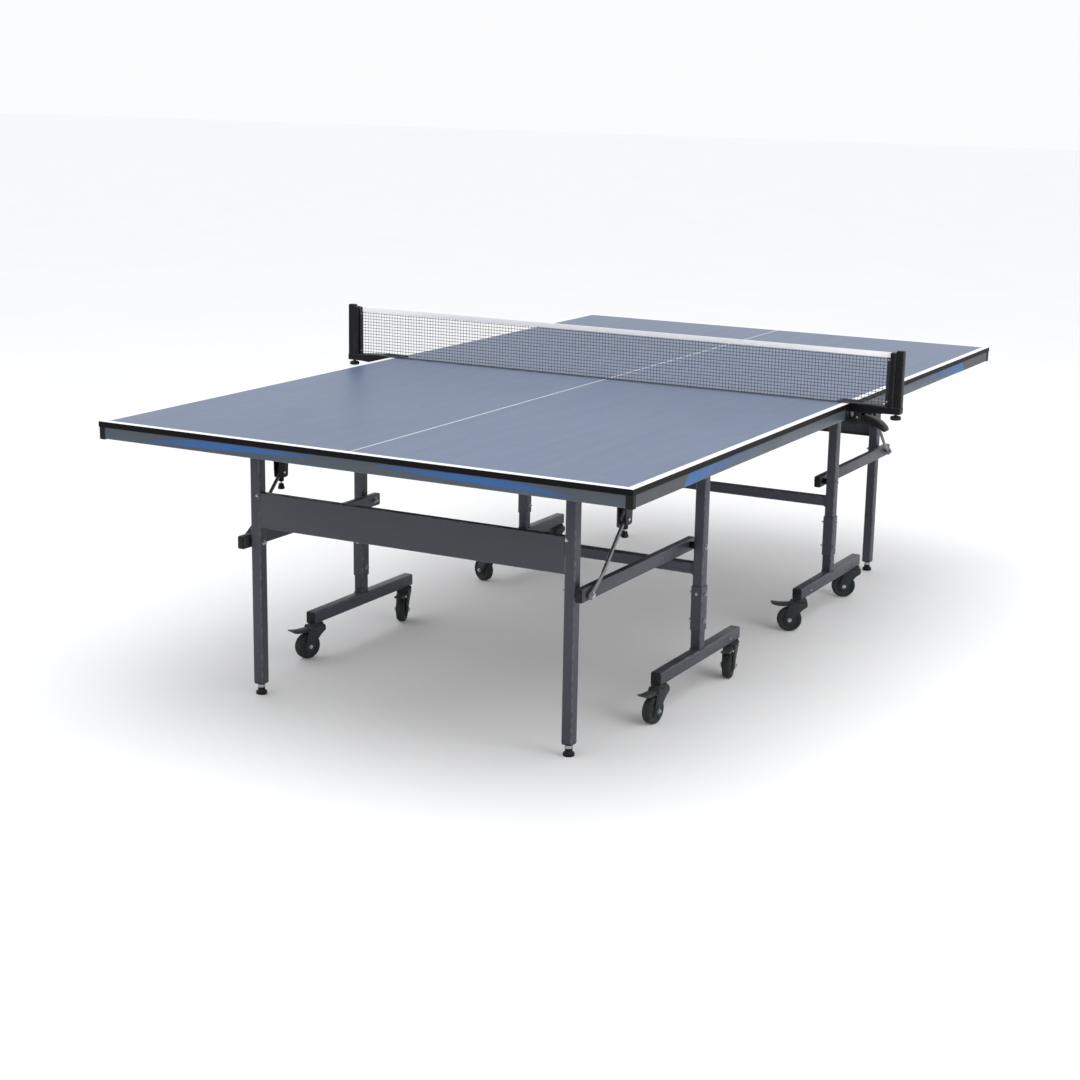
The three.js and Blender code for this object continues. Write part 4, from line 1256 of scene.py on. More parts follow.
class TABLE_OT_rods(bpy.types.Operator):
    """The safety rods: round wire, hammered flat where it bends down to its eye"""
    bl_idname = "tennis_table.rods"
    bl_label = "Safety Rods"

    def execute(self, context):
        radius = context.scene.table_frame_sizes.rod
        for prefix, half in HALVES.items():
            x, y, z = np.abs(JOINTS[f"{prefix}_rod_left_swing"]["pos_m"])
            low, high = box(f"{prefix}_rod_left")
            tip_x, tip_z = min(abs(low[0]), abs(high[0])) + radius, high[2] - radius
            bend = np.array([x, z]) + ROD_BEND
            points = np.array([(x, z), bend, (tip_x, tip_z)])
            legs = np.linalg.norm(np.diff(points, axis=0), axis=1)
            s = np.linspace(0, 1, 60) * legs.sum()
            plain = np.stack([np.interp(s, [0, legs[0], legs.sum()], points[:, k]) for k in (0, 1)], 1)
            kernel = np.hanning(9) / np.hanning(9).sum()
            padded = np.concatenate([plain[:1] * 2 - plain[4:0:-1], plain, plain[-1:] * 2 - plain[-2:-6:-1]])
            smooth = np.stack([np.convolve(padded[:, k], kernel, "valid") for k in (0, 1)], 1)
            path = np.stack([smooth[:, 0], np.full(60, y), smooth[:, 1]], 1)
            flat = np.clip(1 - (s - legs[0] * 0.9) / (22 * MM), 0, 1) ** 0.7
            wide = radius * (1 + 0.4 * flat)
            thin = radius * (1 - 0.45 * flat)
            section = circle(1.0, 14)[None] * np.stack([thin, wide], 1)[:, None]
            patches = [swept(path, section, (0, 1, 0)), self.eye(x, y, z), self.crosspin(path[-1])]
            for side_name, side in SIDES.items():
                make_piece(f"{prefix}_safety_rod_{side_name}", on_side(patches, half, side), ("rod",),
                           f"{prefix}_rod_{side_name}", (f"{prefix}_rod_{side_name}",), 50)
        return {"FINISHED"}

    def eye(self, x, y, z):
        """A flat disc with rounded rims round the pivot bolt."""
        profile = np.array([(10.6, -3.2), (11.8, -2.4), (12, 0), (11.8, 2.4), (10.6, 3.2)]) * MM
        return turned(profile, (x, y, z), "y")

    def crosspin(self, tip):
        """The short pin across the rod's upper end, with rounded ends."""
        profile = np.array([(2.2, -6.5), (3.1, -5.8), (3.1, 5.8), (2.2, 6.5)]) * MM
        return turned(profile, tip, "y", 1, 16)


class TABLE_OT_latches(bpy.types.Operator):
    """The brackets under the boards that the safety rods lock into, with their sprung pull knobs"""
    bl_idname = "tennis_table.latches"
    bl_label = "Latches"

    def execute(self, context):
        for prefix, half in HALVES.items():
            _, rod_y, _ = np.abs(JOINTS[f"{prefix}_rod_left_swing"]["pos_m"])
            low, high = box(f"{prefix}_rod_left")
            x = min(abs(low[0]), abs(high[0])) + 24 * MM
            top = box(f"{prefix}_tabletop")[0][2] - 0.2 * MM
            patches = self.bracket(x, rod_y, top)
            for side_name, side in SIDES.items():
                make_piece(f"{prefix}_latch_{side_name}", on_side(patches, half, side),
                           ("plastic", "zinc"), f"{prefix}_top")
        return {"FINISHED"}

    def bracket(self, x, y, top):
        """Two cheeks under a web, tapering downwards to the plunger's barrel."""
        foot = 562 * MM
        corners = [(x - 25 * MM, top), (x + 25 * MM, top), (x + 24 * MM, top - 60 * MM),
                   (x + 17 * MM, foot), (x - 17 * MM, foot), (x - 24 * MM, top - 60 * MM)]
        radii = np.array([1.5, 1.5, 10, 7, 7, 10]) * MM
        patches = []
        for near, far in ((8, 11), (-11, -8)):
            patches.append(extruded(corners, radii, (y + near * MM, y + far * MM), "y", FINE_EDGE, 0, 5))
        patches.append(bar((x - 25 * MM, y - 11 * MM, top - 4 * MM), (x + 25 * MM, y + 11 * MM, top),
                           "x", 1 * MM, FINE_EDGE))
        for shift in (-16, 16):
            patches += bolt((x + shift * MM, y, top - 4 * MM), "z", -1, 2.6 * MM, 1)
        rivet = np.array([(2.6, 10.6), (4.4, 11.2), (4.0, 12.6), (2.2, 13.2)]) * MM
        for z in (top - 30 * MM, foot + 14 * MM):
            patches.append(turned(rivet, (x, y, z), "y", 1, 18, 1))
            patches.append(turned(rivet, (x, y, z), "y", -1, 18, 1))
        barrel = np.array([(6, 12), (7.6, 10.5), (8, 0), (7.4, -2), (5.5, -2.4)]) * MM
        patches.append(turned(barrel, (x, y, foot), "z", -1, 28, 0))
        patches.append(turned(np.array([(2.6, 0), (2.6, 20)]) * MM, (x, y, foot), "z", -1, 16, 1))
        knob = np.array([(4.5, 17), (6.2, 17.6), (9.2, 29.5), (9.6, 31.5), (8.4, 33), (3, 33.6)]) * MM
        patches.append(fluted(knob, (x, y, foot), "z", 12, 0.03, -1))
        return patches


# ======================================================================================
# Casters
# ======================================================================================
def cheek_outline(trail, axle_z):
    """The side of a caster's housing: a lobe of 15 mm round the axle that leans back up to the crown."""
    angle = np.radians(np.linspace(150, 372, 13))
    lobe = np.stack([-trail + 15 * MM * np.cos(angle), axle_z + 15 * MM * np.sin(angle)], 1)
    rest = np.array([(0, 58), (11, 70), (24.5, 80), (24.5, 92), (19, 96), (-25, 96), (-33, 78)]) * MM
    return np.concatenate([lobe, rest])


class TABLE_OT_casters(bpy.types.Operator):
    """The eight braked casters: housing, wheel and pedal"""
    bl_idname = "tennis_table.casters"
    bl_label = "Casters"

    def execute(self, context):
        swivel = JOINTS["near_left_inner_swivel"]["pos_m"]
        axle = JOINTS["near_left_inner_roll"]["pos_m"]
        trail = math.hypot(axle[0] - swivel[0], axle[1] - swivel[1])
        patches = {"fork": self.housing(trail, axle[2]), "wheel": self.wheel(trail, axle[2]),
                   "pedal": self.pedal()}
        looks = {"fork": ("housing", ("caster", "zinc"), "caster_plastic"),
                 "wheel": ("wheel", ("tyre", "caster", "plastic"), "tyre"),
                 "pedal": ("brake", ("caster", "zinc"), "caster_plastic")}
        for prefix in HALVES:
            for side_name in SIDES:
                for end in ("inner", "outer"):
                    name = f"{prefix}_{side_name}_{end}"
                    swivel = np.array(JOINTS[f"{name}_swivel"]["pos_m"])
                    axle = np.array(JOINTS[f"{name}_roll"]["pos_m"])
                    heading = math.atan2(axle[1] - swivel[1], axle[0] - swivel[0])
                    offset = (swivel[0], swivel[1], 0)
                    for part, (label, finishes, slot) in looks.items():
                        make_piece(f"{name}_{label}", placed(patches[part], heading - math.pi, offset),
                                   finishes, f"{name}_{part}", (f"{name}_{part}",))
        return {"FINISHED"}

    def housing(self, trail, axle_z):
        """Two cheeks with a raised rim, the crown, the raceway, the axle bolt and the king pin."""
        outline = cheek_outline(trail, axle_z)
        patches = []
        for near, far in ((14, 17), (-17, -14)):
            patches.append(extruded(outline, 2 * MM, (near * MM, far * MM), "y", SOFT_EDGE, 0, 2))
        panel = drawn_in(outline if anticlockwise(outline) else outline[::-1], 3.2 * MM)
        for near, far in ((16.8, 18), (-18, -16.8)):
            patches.append(extruded(panel, 1.2 * MM, (near * MM, far * MM), "y", SOFT_EDGE * 0.7, 0, 2))
        crown = [(88 * MM, -20 * MM, 22 * MM, -15.5 * MM, 15.5 * MM, 4 * MM),
                 (90 * MM, -24 * MM, 25 * MM, -17 * MM, 17 * MM, 5 * MM),
                 (95 * MM, -23 * MM, 24 * MM, -17 * MM, 17 * MM, 6 * MM),
                 (97 * MM, -19 * MM, 20 * MM, -15 * MM, 15 * MM, 6 * MM)]
        patches.append(lofted(crown, "z", 0, 5))
        race = np.array([(19.5, 95.5), (22.4, 96), (23, 97.4), (22.6, 98.8), (20.6, 99.4), (20.2, 100.2),
                         (21.4, 100.8), (21, 102.2), (19, 102.6)]) * MM
        patches.append(turned(race, (0, 0, 0), "z", 1, 36))
        boss = np.array([(11.5, 17.8), (11.2, 18.8), (8.5, 19.4)]) * MM
        for direction in (1, -1):
            patches.append(turned(boss, (-trail, 0, axle_z), "y", direction, 28))
            patches += bolt((-trail, direction * 19.2 * MM, axle_z), "y", direction, 3.6 * MM, 1)
        patches.append(turned(np.array([(4, -14.5), (4, 14.5)]) * MM, (-trail, 0, axle_z), "y", 1, 16, 1))
        king = np.array([(2.5, 83), (5.5, 83.8), (6, 85.5), (6, 89)]) * MM
        patches.append(turned(king, (4 * MM, 0, 0), "z", 1, 20, 1))
        return patches

    def wheel(self, trail, axle_z):
        """A tyre with two grooves, a dished hub with six ribs on each face, and a bush."""
        centre = (-trail, 0, axle_z)
        half_tyre = np.array([(28, 10.6), (29.6, 12), (33.4, 12), (36.1, 9.8), (37.3, 6.6), (37.5, 4.6),
                              (37.5, 3.1), (36.9, 2.6), (36.9, 2.1), (37.5, 1.6)])
        tyre = np.concatenate([half_tyre * (1, -1), half_tyre[::-1]]) * MM
        half_hub = np.array([(28.3, 10.8), (26.4, 10.2), (25.2, 7.6), (17, 7.6), (15.2, 10.8), (13.8, 11.9),
                             (9.6, 12), (9.2, 11.2)])
        hub = np.concatenate([half_hub[::-1] * (1, -1), half_hub]) * MM
        bush = np.array([(9.3, -11.6), (9.3, 11.6), (5, 12.4), (5, -12.4)]) * MM
        patches = [turned(tyre, centre, "y", 1, 48, 0, True), turned(hub, centre, "y", 1, 40, 1, True),
                   turned(bush[[3, 0, 1, 2]], centre, "y", 1, 20, 2, True)]
        for k in range(6):
            angle = k * math.pi / 3
            for face in (-1, 1):
                along = np.array([15.5, 20, 26.5]) * MM
                sideways = np.full(3, face * 8.2 * MM)
                path = np.stack([along * math.cos(angle), sideways, along * math.sin(angle)], 1)
                section = np.array([(-1.5, -1.1), (1.5, -1.1), (1.1, 1.1), (-1.1, 1.1)]) * MM
                patches.append(swept(path + centre, section, (0, 1, 0), 1))
        return patches

    def pedal(self):
        """The brake pedal in side view, with three grips across its tail."""
        corners = np.array([(-15, 81), (-14, 88), (-24, 90), (-46, 88.6), (-62, 88), (-76, 89.4), (-85.4, 91),
                            (-86.4, 88.4), (-76, 82.4), (-62, 79.2), (-40, 79.2), (-24, 79.5)]) * MM
        radii = np.array([1.5, 1.5, 3, 5, 5, 4, 1.2, 1.2, 4, 5, 5, 3]) * MM
        patches = [extruded(corners, radii, (-12.6 * MM, 12.6 * MM), "y", SOFT_EDGE, 0, 3)]
        for x, z in ((-64, 88.0), (-69, 88.5), (-74, 89.1)):
            grip = np.array(rectangle(x - 1, z - 1, x + 1, z + 0.9)) * MM
            patches.append(extruded(grip, 0.5 * MM, (-11 * MM, 11 * MM), "y", FINE_EDGE, 0, 2))
        patches.append(pin(2.8 * MM, -17.6 * MM, 17.6 * MM, (-18 * MM, 0, 86 * MM), "y", sides=14))
        return patches


# ======================================================================================
# The net, its posts and clamps
# ======================================================================================
def ripple(points, low_z, high_z, width):
    """Moves a net's points out of its plane by a slow wave that dies out at its top and bottom:
    1.1 mm sin(pi h) (sin(9 s) + 0.6 sin(23 s + 1)), with h its height and s the way across it."""
    h = (points[:, 2] - low_z) / (high_z - low_z)
    s = points[:, 1] / width * math.pi
    shift = 1.1 * MM * np.sin(np.pi * np.clip(h, 0, 1)) * (np.sin(9 * s) + 0.6 * np.sin(23 * s + 1))
    moved = points.copy()
    moved[:, 0] += shift
    moved[:, 1] += 0.5 * shift * np.cos(5 * s)
    return moved


def strand(path, radius, knots):
    """A square cord along a path, thicker by 30 percent at its knots."""
    section = circle(1.0, 4)[None] * (radius * np.where(knots, 1.3, 1.0))[:, None, None]
    side = (1, 0, 0)
    return swept(path, section, side)


class TABLE_OT_net(bpy.types.Operator):
    """The knotted net with its tape, hems, cord and stitching"""
    bl_idname = "tennis_table.net"
    bl_label = "Net"

    def execute(self, context):
        sizes = context.scene.table_net_sizes
        low, high = box("net")
        width = high[1] - low[1]
        across = round(width / sizes.mesh)
        up = round((high[2] - low[2]) / sizes.mesh)
        y = np.linspace(low[1], high[1], across + 1)
        z = np.linspace(low[2] + 1.2 * MM, high[2] - sizes.tape * 0.6, up + 1)
        patches = self.strands(y, z, sizes.strand / 2)
        for patch in patches:
            patch["points"] = ripple(patch["points"], low[2], high[2], width)
        net = make_piece("net_mesh", patches, ("net",), "far_top", ("net",), 60)
        trims = [self.tape(low, high, sizes), self.stitches(low, high, sizes), self.hems(low, high),
                 self.foot_cord(low, high)]
        return {"FINISHED"}

    def surface(self, patches):
        """The cord's surface: each face's area is half the length of its diagonals' cross product."""
        total = 0.0
        for patch in patches:
            quads = np.array([face for face in patch["faces"] if len(face) == 4])
            p = patch["points"][quads]
            total += np.linalg.norm(np.cross(p[:, 2] - p[:, 0], p[:, 3] - p[:, 1]), axis=1).sum() / 2
        return float(total)

    def strands(self, y, z, radius):
        """Upright and level cords that cross at every knot, each passing in front of the other in turn."""
        patches = []
        over = 0.35 * MM
        half_step = (z[1] - z[0]) / 2
        level_z = np.concatenate([[z[0]], np.stack([z[:-1] + half_step, z[1:]], 1).reshape(-1)])
        for parity in (0, 1):
            sign = np.where((np.arange(len(z)) + parity) % 2, over, -over)
            x = np.zeros(len(level_z))
            x[::2] = sign
            path = np.stack([x, np.zeros(len(level_z)), level_z], 1)
            knots = np.arange(len(level_z)) % 2 == 0
            places = y[1:-1][parity::2]
            offsets = np.stack([np.zeros(len(places)), places, np.zeros(len(places))], 1)
            patches.append(repeated(strand(path, radius, knots), offsets))
            sign = np.where((np.arange(len(y)) + parity) % 2, -over, over)
            path = np.stack([sign, y, np.zeros(len(y))], 1)
            heights = z[1:-1][parity::2]
            offsets = np.stack([np.zeros(len(heights)), np.zeros(len(heights)), heights], 1)
            patches.append(repeated(strand(path, radius, np.ones(len(y), bool)), offsets))
        return patches

    def tape(self, low, high, sizes):
        """A folded tape along the top: a rounded section that wavers by 0.25 mm along its length."""
        y = np.linspace(low[1], high[1], 240)
        drift = 0.25 * MM * (np.sin(y * 31) + 0.5 * np.sin(y * 83 + 2))
        sag = 0.5 * MM * (1 - (y / high[1]) ** 2)
        middle = high[2] - sizes.tape / 2
        path = np.stack([drift, y, middle - sag], 1)
        half = sizes.tape / 2
        corners = np.array([(-1.5 * MM, -half), (1.5 * MM, -half), (1.5 * MM, half), (-1.5 * MM, half)])
        outline, _ = softened(corners, [0.5 * MM, 0.5 * MM, 1.3 * MM, 1.3 * MM], 3)
        pinch = 1 - 0.3 * np.exp(-((outline[:, 1] + half * 0.72) / (1.0 * MM)) ** 2)
        outline[:, 0] *= pinch
        return make_piece("net_tape", [swept(path, outline, (1, 0, 0))], ("tape",), "far_top",
                          (), 60)

    def stitches(self, low, high, sizes):
        """Two rows of short stitches on both faces of the tape."""
        z = high[2] - sizes.tape + 2.2 * MM
        half = np.array([0.35, 2.0, 0.28]) * MM
        thread = bar(-half, half, "y", 0.15 * MM, 0.12 * MM, 0, 1)
        y = np.linspace(low[1] + 5 * MM, high[1] - 5 * MM, sizes.stitches)
        drift = 0.25 * MM * (np.sin(y * 31) + 0.5 * np.sin(y * 83 + 2))
        sag = 0.5 * MM * (1 - (y / high[1]) ** 2)
        rows = [np.stack([drift + face * 1.45 * MM, y, z - sag], 1) for face in (-1, 1)]
        return make_piece("net_stitches", [repeated(thread, np.concatenate(rows))], ("tape",), "far_top")

    def hems(self, low, high):
        """The cloth strips that close the net's two ends, sewn round a stiffening rod."""
        patches = []
        for y_low, y_high in ((low[1], low[1] + 11 * MM), (high[1] - 11 * MM, high[1])):
            patches.append(bar((-1.6 * MM, y_low, low[2]), (1.6 * MM, y_high, high[2] - 0.6 * MM), "z",
                               1.2 * MM, SOFT_EDGE))
        return make_piece("net_hems", patches, ("hem",), "far_top")

    def foot_cord(self, low, high):
        """The cord along the net's lower edge."""
        y = np.linspace(low[1], high[1], 120)
        path = np.stack([0.3 * MM * np.sin(y * 40), y, np.full(120, low[2] + 1.6 * MM)], 1)
        return make_piece("net_foot_cord", [swept(path, circle(1.5 * MM, 8), (1, 0, 0))], ("net",),
                          "far_top")


class TABLE_OT_clamps(bpy.types.Operator):
    """The net's posts and screwless clamps, their sprung levers and their adjusting knobs"""
    bl_idname = "tennis_table.clamps"
    bl_label = "Net Clamps"

    def execute(self, context):
        low, high = box("net_clamp_left")
        lever_low, lever_high = box("net_lever_left")
        board_top = box("far_tabletop")[1]
        pivot = JOINTS["net_lever_left_squeeze"]["pos_m"]
        clamp = self.clamp(low, high, board_top, pivot, lever_low, lever_high)
        lever = self.lever(lever_low, lever_high, box("far_apron")[1][2] - 30 * MM)
        knob = self.knob(*box("net_knob_left"))
        for side_name, side in SIDES.items():
            for label, patches, node in (("post", clamp, "net_clamp"), ("jaw", lever, "net_lever"),
                                         ("dial", knob, "net_knob")):
                body = "far_top" if node == "net_clamp" else f"{node}_{side_name}"
                make_piece(f"net_{label}_{side_name}", on_side(patches, 1, side), ("plastic", "zinc"),
                           body, (f"{node}_{side_name}",))
        return {"FINISHED"}

    def clamp(self, low, high, board_top, pivot, lever_low, lever_high):
        """The plate on the board, the arm that tapers out to the post, the post and its mast, and the
        ears that carry the lever's pin."""
        table_z, edge_y = board_top[2], board_top[1]
        plate_top = table_z + 4.3 * MM
        x_low, x_high = 3.5 * MM, high[0]
        reach = high[1]
        plate = extruded(rectangle(x_low, low[1], x_high, edge_y + 40 * MM),
                         np.array([9, 9, 5, 5]) * MM, (table_z + 0.3 * MM, plate_top), "z", SOFT_EDGE, 0, 5)
        rib = [extruded([(x - 1.5 * MM, low[1] + 10 * MM), (x + 1.5 * MM, low[1] + 10 * MM),
                         (x + 1.5 * MM, edge_y + 34 * MM), (x - 1.5 * MM, edge_y + 34 * MM)], 1.4 * MM,
                        (plate_top - 0.3 * MM, plate_top + 1.2 * MM), "z", 0.6 * MM, 0, 3)
               for x in np.linspace(x_low + 9 * MM, x_high - 9 * MM, 3)]
        spans = ((x_low, x_high), (x_low - 1 * MM, x_high), (x_low - 4 * MM, x_high - 1 * MM),
                 (-9 * MM, x_high - 10 * MM), (-13 * MM, x_high - 24 * MM), (-14 * MM, 14 * MM),
                 (-12 * MM, 12 * MM))
        along = (edge_y + 1 * MM, edge_y + 14 * MM, edge_y + 34 * MM, edge_y + 74 * MM, edge_y + 104 * MM,
                 reach - 2 * MM, reach)
        under = np.array([24, 24, 24, 22, 18.5, 17.5, 15.5]) * MM
        over = np.array([0.4, 0.4, 0.6, 1, 1.5, 2, 4]) * MM
        arm = lofted([(y, *span, table_z - down, plate_top - drop, 3.5 * MM)
                      for y, span, down, drop in zip(along, spans, under, over)], "y", 0, 5)
        post_low = box("net")[1][1] + 0.3 * MM
        mast_low = post_low + 16 * MM
        post_top = box("net")[1][2]
        post = lofted([(table_z - 4 * MM, -14 * MM, 14 * MM, post_low, mast_low + 1 * MM, 4 * MM),
                       (table_z + 30 * MM, -13.8 * MM, 13.8 * MM, post_low, mast_low + 1 * MM, 4 * MM),
                       (post_top - 4 * MM, -12.9 * MM, 12.9 * MM, post_low + 0.3 * MM, mast_low + 1 * MM,
                        4 * MM),
                       (post_top - 1 * MM, -12.4 * MM, 12.4 * MM, post_low + 0.9 * MM, mast_low + 1 * MM,
                        3.6 * MM),
                       (post_top, -11 * MM, 11 * MM, post_low + 2.4 * MM, mast_low + 1 * MM, 3 * MM)],
                        "z", 0, 5)
        mast = lofted([(table_z - 3 * MM, -11 * MM, 11 * MM, mast_low, reach, 3 * MM),
                       (table_z + 60 * MM, -10.6 * MM, 10.6 * MM, mast_low, reach, 3 * MM),
                       (high[2] - 3 * MM, -9.8 * MM, 9.8 * MM, mast_low, reach, 3 * MM),
                       (high[2] - 0.8 * MM, -9.4 * MM, 9.4 * MM, mast_low + 0.6 * MM, reach - 0.6 * MM,
                        3 * MM),
                       (high[2], -8.2 * MM, 8.2 * MM, mast_low + 2 * MM, reach - 2 * MM, 2.6 * MM)], "z",
                        0, 5)
        ribs = [bar((face * 13 * MM - 0.9 * MM, y - 0.8 * MM, table_z + 6 * MM),
                    (face * 13 * MM + 0.9 * MM, y + 0.8 * MM, post_top - 12 * MM), "z", 0.6 * MM, 0.4 * MM)
                for face in (-1, 1) for y in np.linspace(post_low + 5 * MM, mast_low - 3 * MM, 3)]
        hook = np.array([(2.0, 0), (2.0, 5), (3.4, 5.4), (3.4, 7.4), (2.4, 8)]) * MM
        hook_heights = (table_z + 14 * MM, post_top - 22 * MM)
        hooks = [turned(hook, (0, post_low, z), "y", -1, 14, 1) for z in hook_heights]
        y_pin, z_pin = pivot[1], pivot[2]
        ears = [extruded([(y_pin - 11 * MM, z_pin - 8 * MM), (y_pin + 11 * MM, z_pin - 8 * MM),
                          (y_pin + 11 * MM, table_z - 23 * MM), (y_pin - 11 * MM, table_z - 23 * MM)],
                         np.array([7, 7, 1, 1]) * MM, span, "x", FINE_EDGE, 0, 4)
                for span in ((lever_low[0] - 3 * MM, lever_low[0] - 0.5 * MM),
                             (lever_high[0] + 0.5 * MM, lever_high[0] + 3 * MM))]
        pin = turned(np.array([(2.6, 0), (2.6, 1)]) * (MM, lever_high[0] - lever_low[0] + 8 * MM),
                     (lever_low[0] - 4 * MM, y_pin, z_pin), "x", 1, 16, 1)
        return [plate, *rib, arm, post, mast, *ribs, *hooks, *ears, pin]

    def lever(self, low, high, apron_low):
        """The lower jaw in end view: the toe under the apron, a level back over the pin and a tail that
        curves down, with a raised panel on each face and grips on the toe."""
        toe = apron_low - 0.3 * MM
        corners = np.array([(738, 0), (763, 0), (769, 7), (777, 13.6), (800, 13.6), (830, 8.6), (852, -2),
                            (866, -16), (869, -25), (865.5, -28.4), (848, -19.5), (826, -12), (800, -10.4),
                            (770, -14.4), (744, -10)]) * MM + (0, toe)
        radii = np.array([0.8, 0.8, 2.5, 5, 8, 10, 8, 4, 2, 1.8, 8, 10, 10, 8, 4]) * MM
        patches = [extruded(corners, radii, (low[0], high[0]), "x", 1.5 * MM, 0, 4)]
        panel = drawn_in(corners, -2 * MM if not anticlockwise(corners) else 2 * MM)
        for span in ((low[0] - 0.35 * MM, low[0] + 1 * MM), (high[0] - 1 * MM, high[0] + 0.35 * MM)):
            patches.append(extruded(panel, np.maximum(radii * 0.6, 0.6 * MM), span, "x", FINE_EDGE, 0, 3))
        for y in np.arange(742, 760, 4):
            patches.append(bar((low[0] + 3 * MM, y * MM, toe - 1 * MM), (high[0] - 3 * MM, (y + 1.6) * MM,
                           toe + 0.25 * MM), "x", 0.5 * MM, FINE_EDGE))
        return patches

    def knob(self, low, high):
        """A fluted knob on a threaded spindle."""
        centre = ((low[0] + high[0]) / 2, (low[1] + high[1]) / 2, low[2])
        body = np.array([(10.5, 0), (13.4, 0.9), (14.4, 3), (14.4, 8), (13, 10.4), (10, 11.6), (6, 12)]) * MM
        ripple_steps = np.arange(13)
        spindle = np.stack([np.where(ripple_steps % 2, 4.2, 4.8) * MM, (11.6 + ripple_steps * 0.35) * MM], 1)
        return [fluted(body, centre, "z", 14, 0.045), turned(spindle, centre, "z", 1, 18, 1)]


# ======================================================================================
# Floor, light and camera
# ======================================================================================
CAMERA_PLACE = (-5.1774, -2.6038, 1.6653)
CAMERA_YAW = 0.4985
CAMERA_PITCH = 0.2375
CAMERA_ROLL = 0.017
CAMERA_LENS = 65.43
CAMERA_SENSOR = 36.0


def floor_material():
    """A pale studio floor with a barely visible drift in tone and roughness."""
    material, tree, shader = start_material("Studio Floor", Specular_IOR_Level=0.2)
    place = object_place(tree)
    drift = noise(tree, place, 1.5, 3.0)
    base = mixed(tree, ramp(tree, drift, 0.3, 0.7), (0.955, 0.957, 0.96, 1), (0.97, 0.972, 0.975, 1))
    tree.links.new(base, shader.inputs["Base Color"])
    tree.links.new(ramp(tree, drift, 0.3, 0.7, 0.75, 0.85), shader.inputs["Roughness"])
    return material


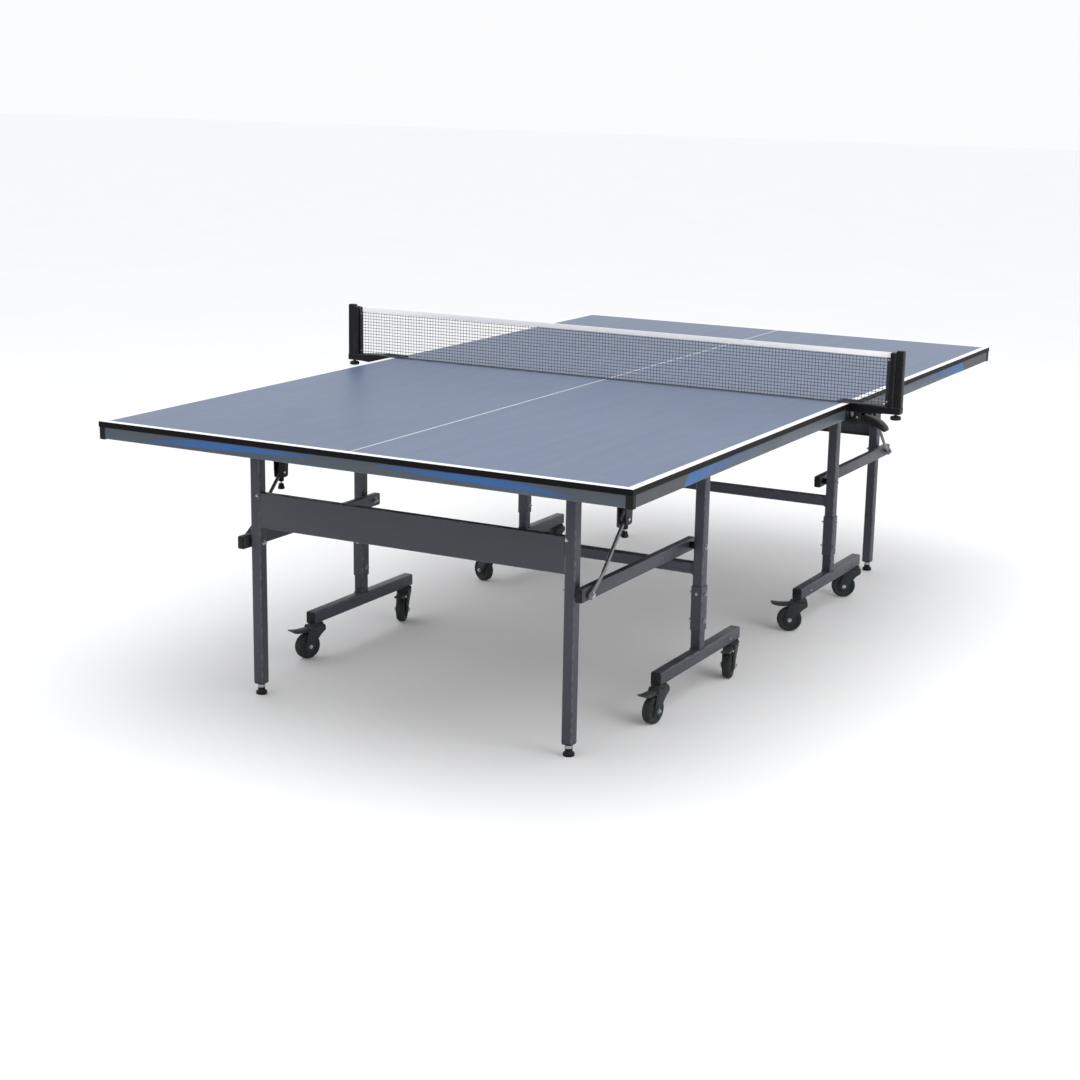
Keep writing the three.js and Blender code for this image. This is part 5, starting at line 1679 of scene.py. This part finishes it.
class TABLE_OT_stage(bpy.types.Operator):
    """The pale floor, the soft lights and the camera"""
    bl_idname = "tennis_table.stage"
    bl_label = "Floor, Light and Camera"

    def execute(self, context):
        scene = context.scene
        floor = bpy.data.meshes.new("floor")
        reach = 40.0
        floor.from_pydata([(-reach, -reach, 0), (reach, -reach, 0), (reach, reach, 0), (-reach, reach, 0)],
                          [], [(0, 1, 2, 3)])
        floor.materials.append(floor_material())
        floor_piece = bpy.data.objects.new("studio_floor", floor)
        scene.collection.objects.link(floor_piece)
        world = bpy.data.worlds.new("studio")
        world.use_nodes = True
        background = world.node_tree.nodes["Background"]
        background.inputs["Color"].default_value = (0.97, 0.975, 0.985, 1.0)
        background.inputs["Strength"].default_value = 1.0
        scene.world = world
        self.area("overhead_light", (-0.6, -0.4, 4.6), (0, 0, 0.7), 4.5, 70.0)
        self.area("key_light", (-1.5, -6.0, 3.0), (0, 0, 0.6), 3.0, 80.0)
        scene.view_settings.view_transform = "Standard"
        self.camera(scene)
        return {"FINISHED"}

    def area(self, name, place, target, size, power):
        light = bpy.data.lights.new(name, "AREA")
        light.shape, light.size, light.energy = "SQUARE", size, power
        lamp = bpy.data.objects.new(name, light)
        bpy.context.scene.collection.objects.link(lamp)
        forward = unit(np.array(target) - np.array(place))
        side = unit(np.cross(forward, (0, 0, 1)))
        up = np.cross(side, forward)
        lamp.matrix_world = self.matrix(side, up, -forward, place)

    def matrix(self, right, up, back, place):
        rows = [[right[k], up[k], back[k], place[k]] for k in range(3)]
        return Matrix([*rows, [0, 0, 0, 1]])

    def camera(self, scene):
        """Looks along (cos yaw cos pitch, sin yaw cos pitch, -sin pitch), then rolls about that line."""
        data = bpy.data.cameras.new("camera")
        data.lens, data.sensor_width = CAMERA_LENS, CAMERA_SENSOR
        data.clip_start, data.clip_end = 0.1, 100.0
        forward = np.array([math.cos(CAMERA_YAW) * math.cos(CAMERA_PITCH),
                            math.sin(CAMERA_YAW) * math.cos(CAMERA_PITCH), -math.sin(CAMERA_PITCH)])
        level = unit(np.cross(forward, (0, 0, 1)))
        upright = np.cross(level, forward)
        right = level * math.cos(CAMERA_ROLL) + upright * math.sin(CAMERA_ROLL)
        up = upright * math.cos(CAMERA_ROLL) - level * math.sin(CAMERA_ROLL)
        camera = bpy.data.objects.new("camera", data)
        scene.collection.objects.link(camera)
        camera.matrix_world = self.matrix(right, up, -forward, CAMERA_PLACE)
        scene.camera = camera


# ======================================================================================
# The sidebar, and making everything
# ======================================================================================
OPERATORS = (TABLE_OT_stage, TABLE_OT_boards, TABLE_OT_aprons, TABLE_OT_bands, TABLE_OT_legs,
             TABLE_OT_panels, TABLE_OT_trolleys, TABLE_OT_links, TABLE_OT_rods, TABLE_OT_latches,
             TABLE_OT_casters, TABLE_OT_net, TABLE_OT_clamps)
GROUPS = {"table_top_sizes": TopSizes, "table_frame_sizes": FrameSizes, "table_net_sizes": NetSizes,
          "table_colours": Colours}


class TABLE_PT_pieces(bpy.types.Panel):
    """Lists the table's sizes, colours and pieces"""
    bl_idname = "TABLE_PT_pieces"
    bl_label = "Table Tennis Table"
    bl_space_type = "VIEW_3D"
    bl_region_type = "UI"
    bl_category = "Table"

    def draw(self, context):
        for group in GROUPS:
            column = self.layout.column(align=True)
            values = getattr(context.scene, group)
            for name in values.__annotations__:
                column.prop(values, name)
        for operator in OPERATORS:
            self.layout.operator(operator.bl_idname)


def register():
    for group in GROUPS.values():
        bpy.utils.register_class(group)
    for name, group in GROUPS.items():
        setattr(bpy.types.Scene, name, PointerProperty(type=group))
    for operator in (*OPERATORS, TABLE_PT_pieces):
        bpy.utils.register_class(operator)


def unregister():
    for operator in reversed((*OPERATORS, TABLE_PT_pieces)):
        bpy.utils.unregister_class(operator)
    for name in GROUPS:
        delattr(bpy.types.Scene, name)
    for group in reversed(list(GROUPS.values())):
        bpy.utils.unregister_class(group)


def main():
    register()
    for operator in OPERATORS:
        module, name = operator.bl_idname.split(".")
        getattr(getattr(bpy.ops, module), name)()


if __name__ == "__main__":
    main()
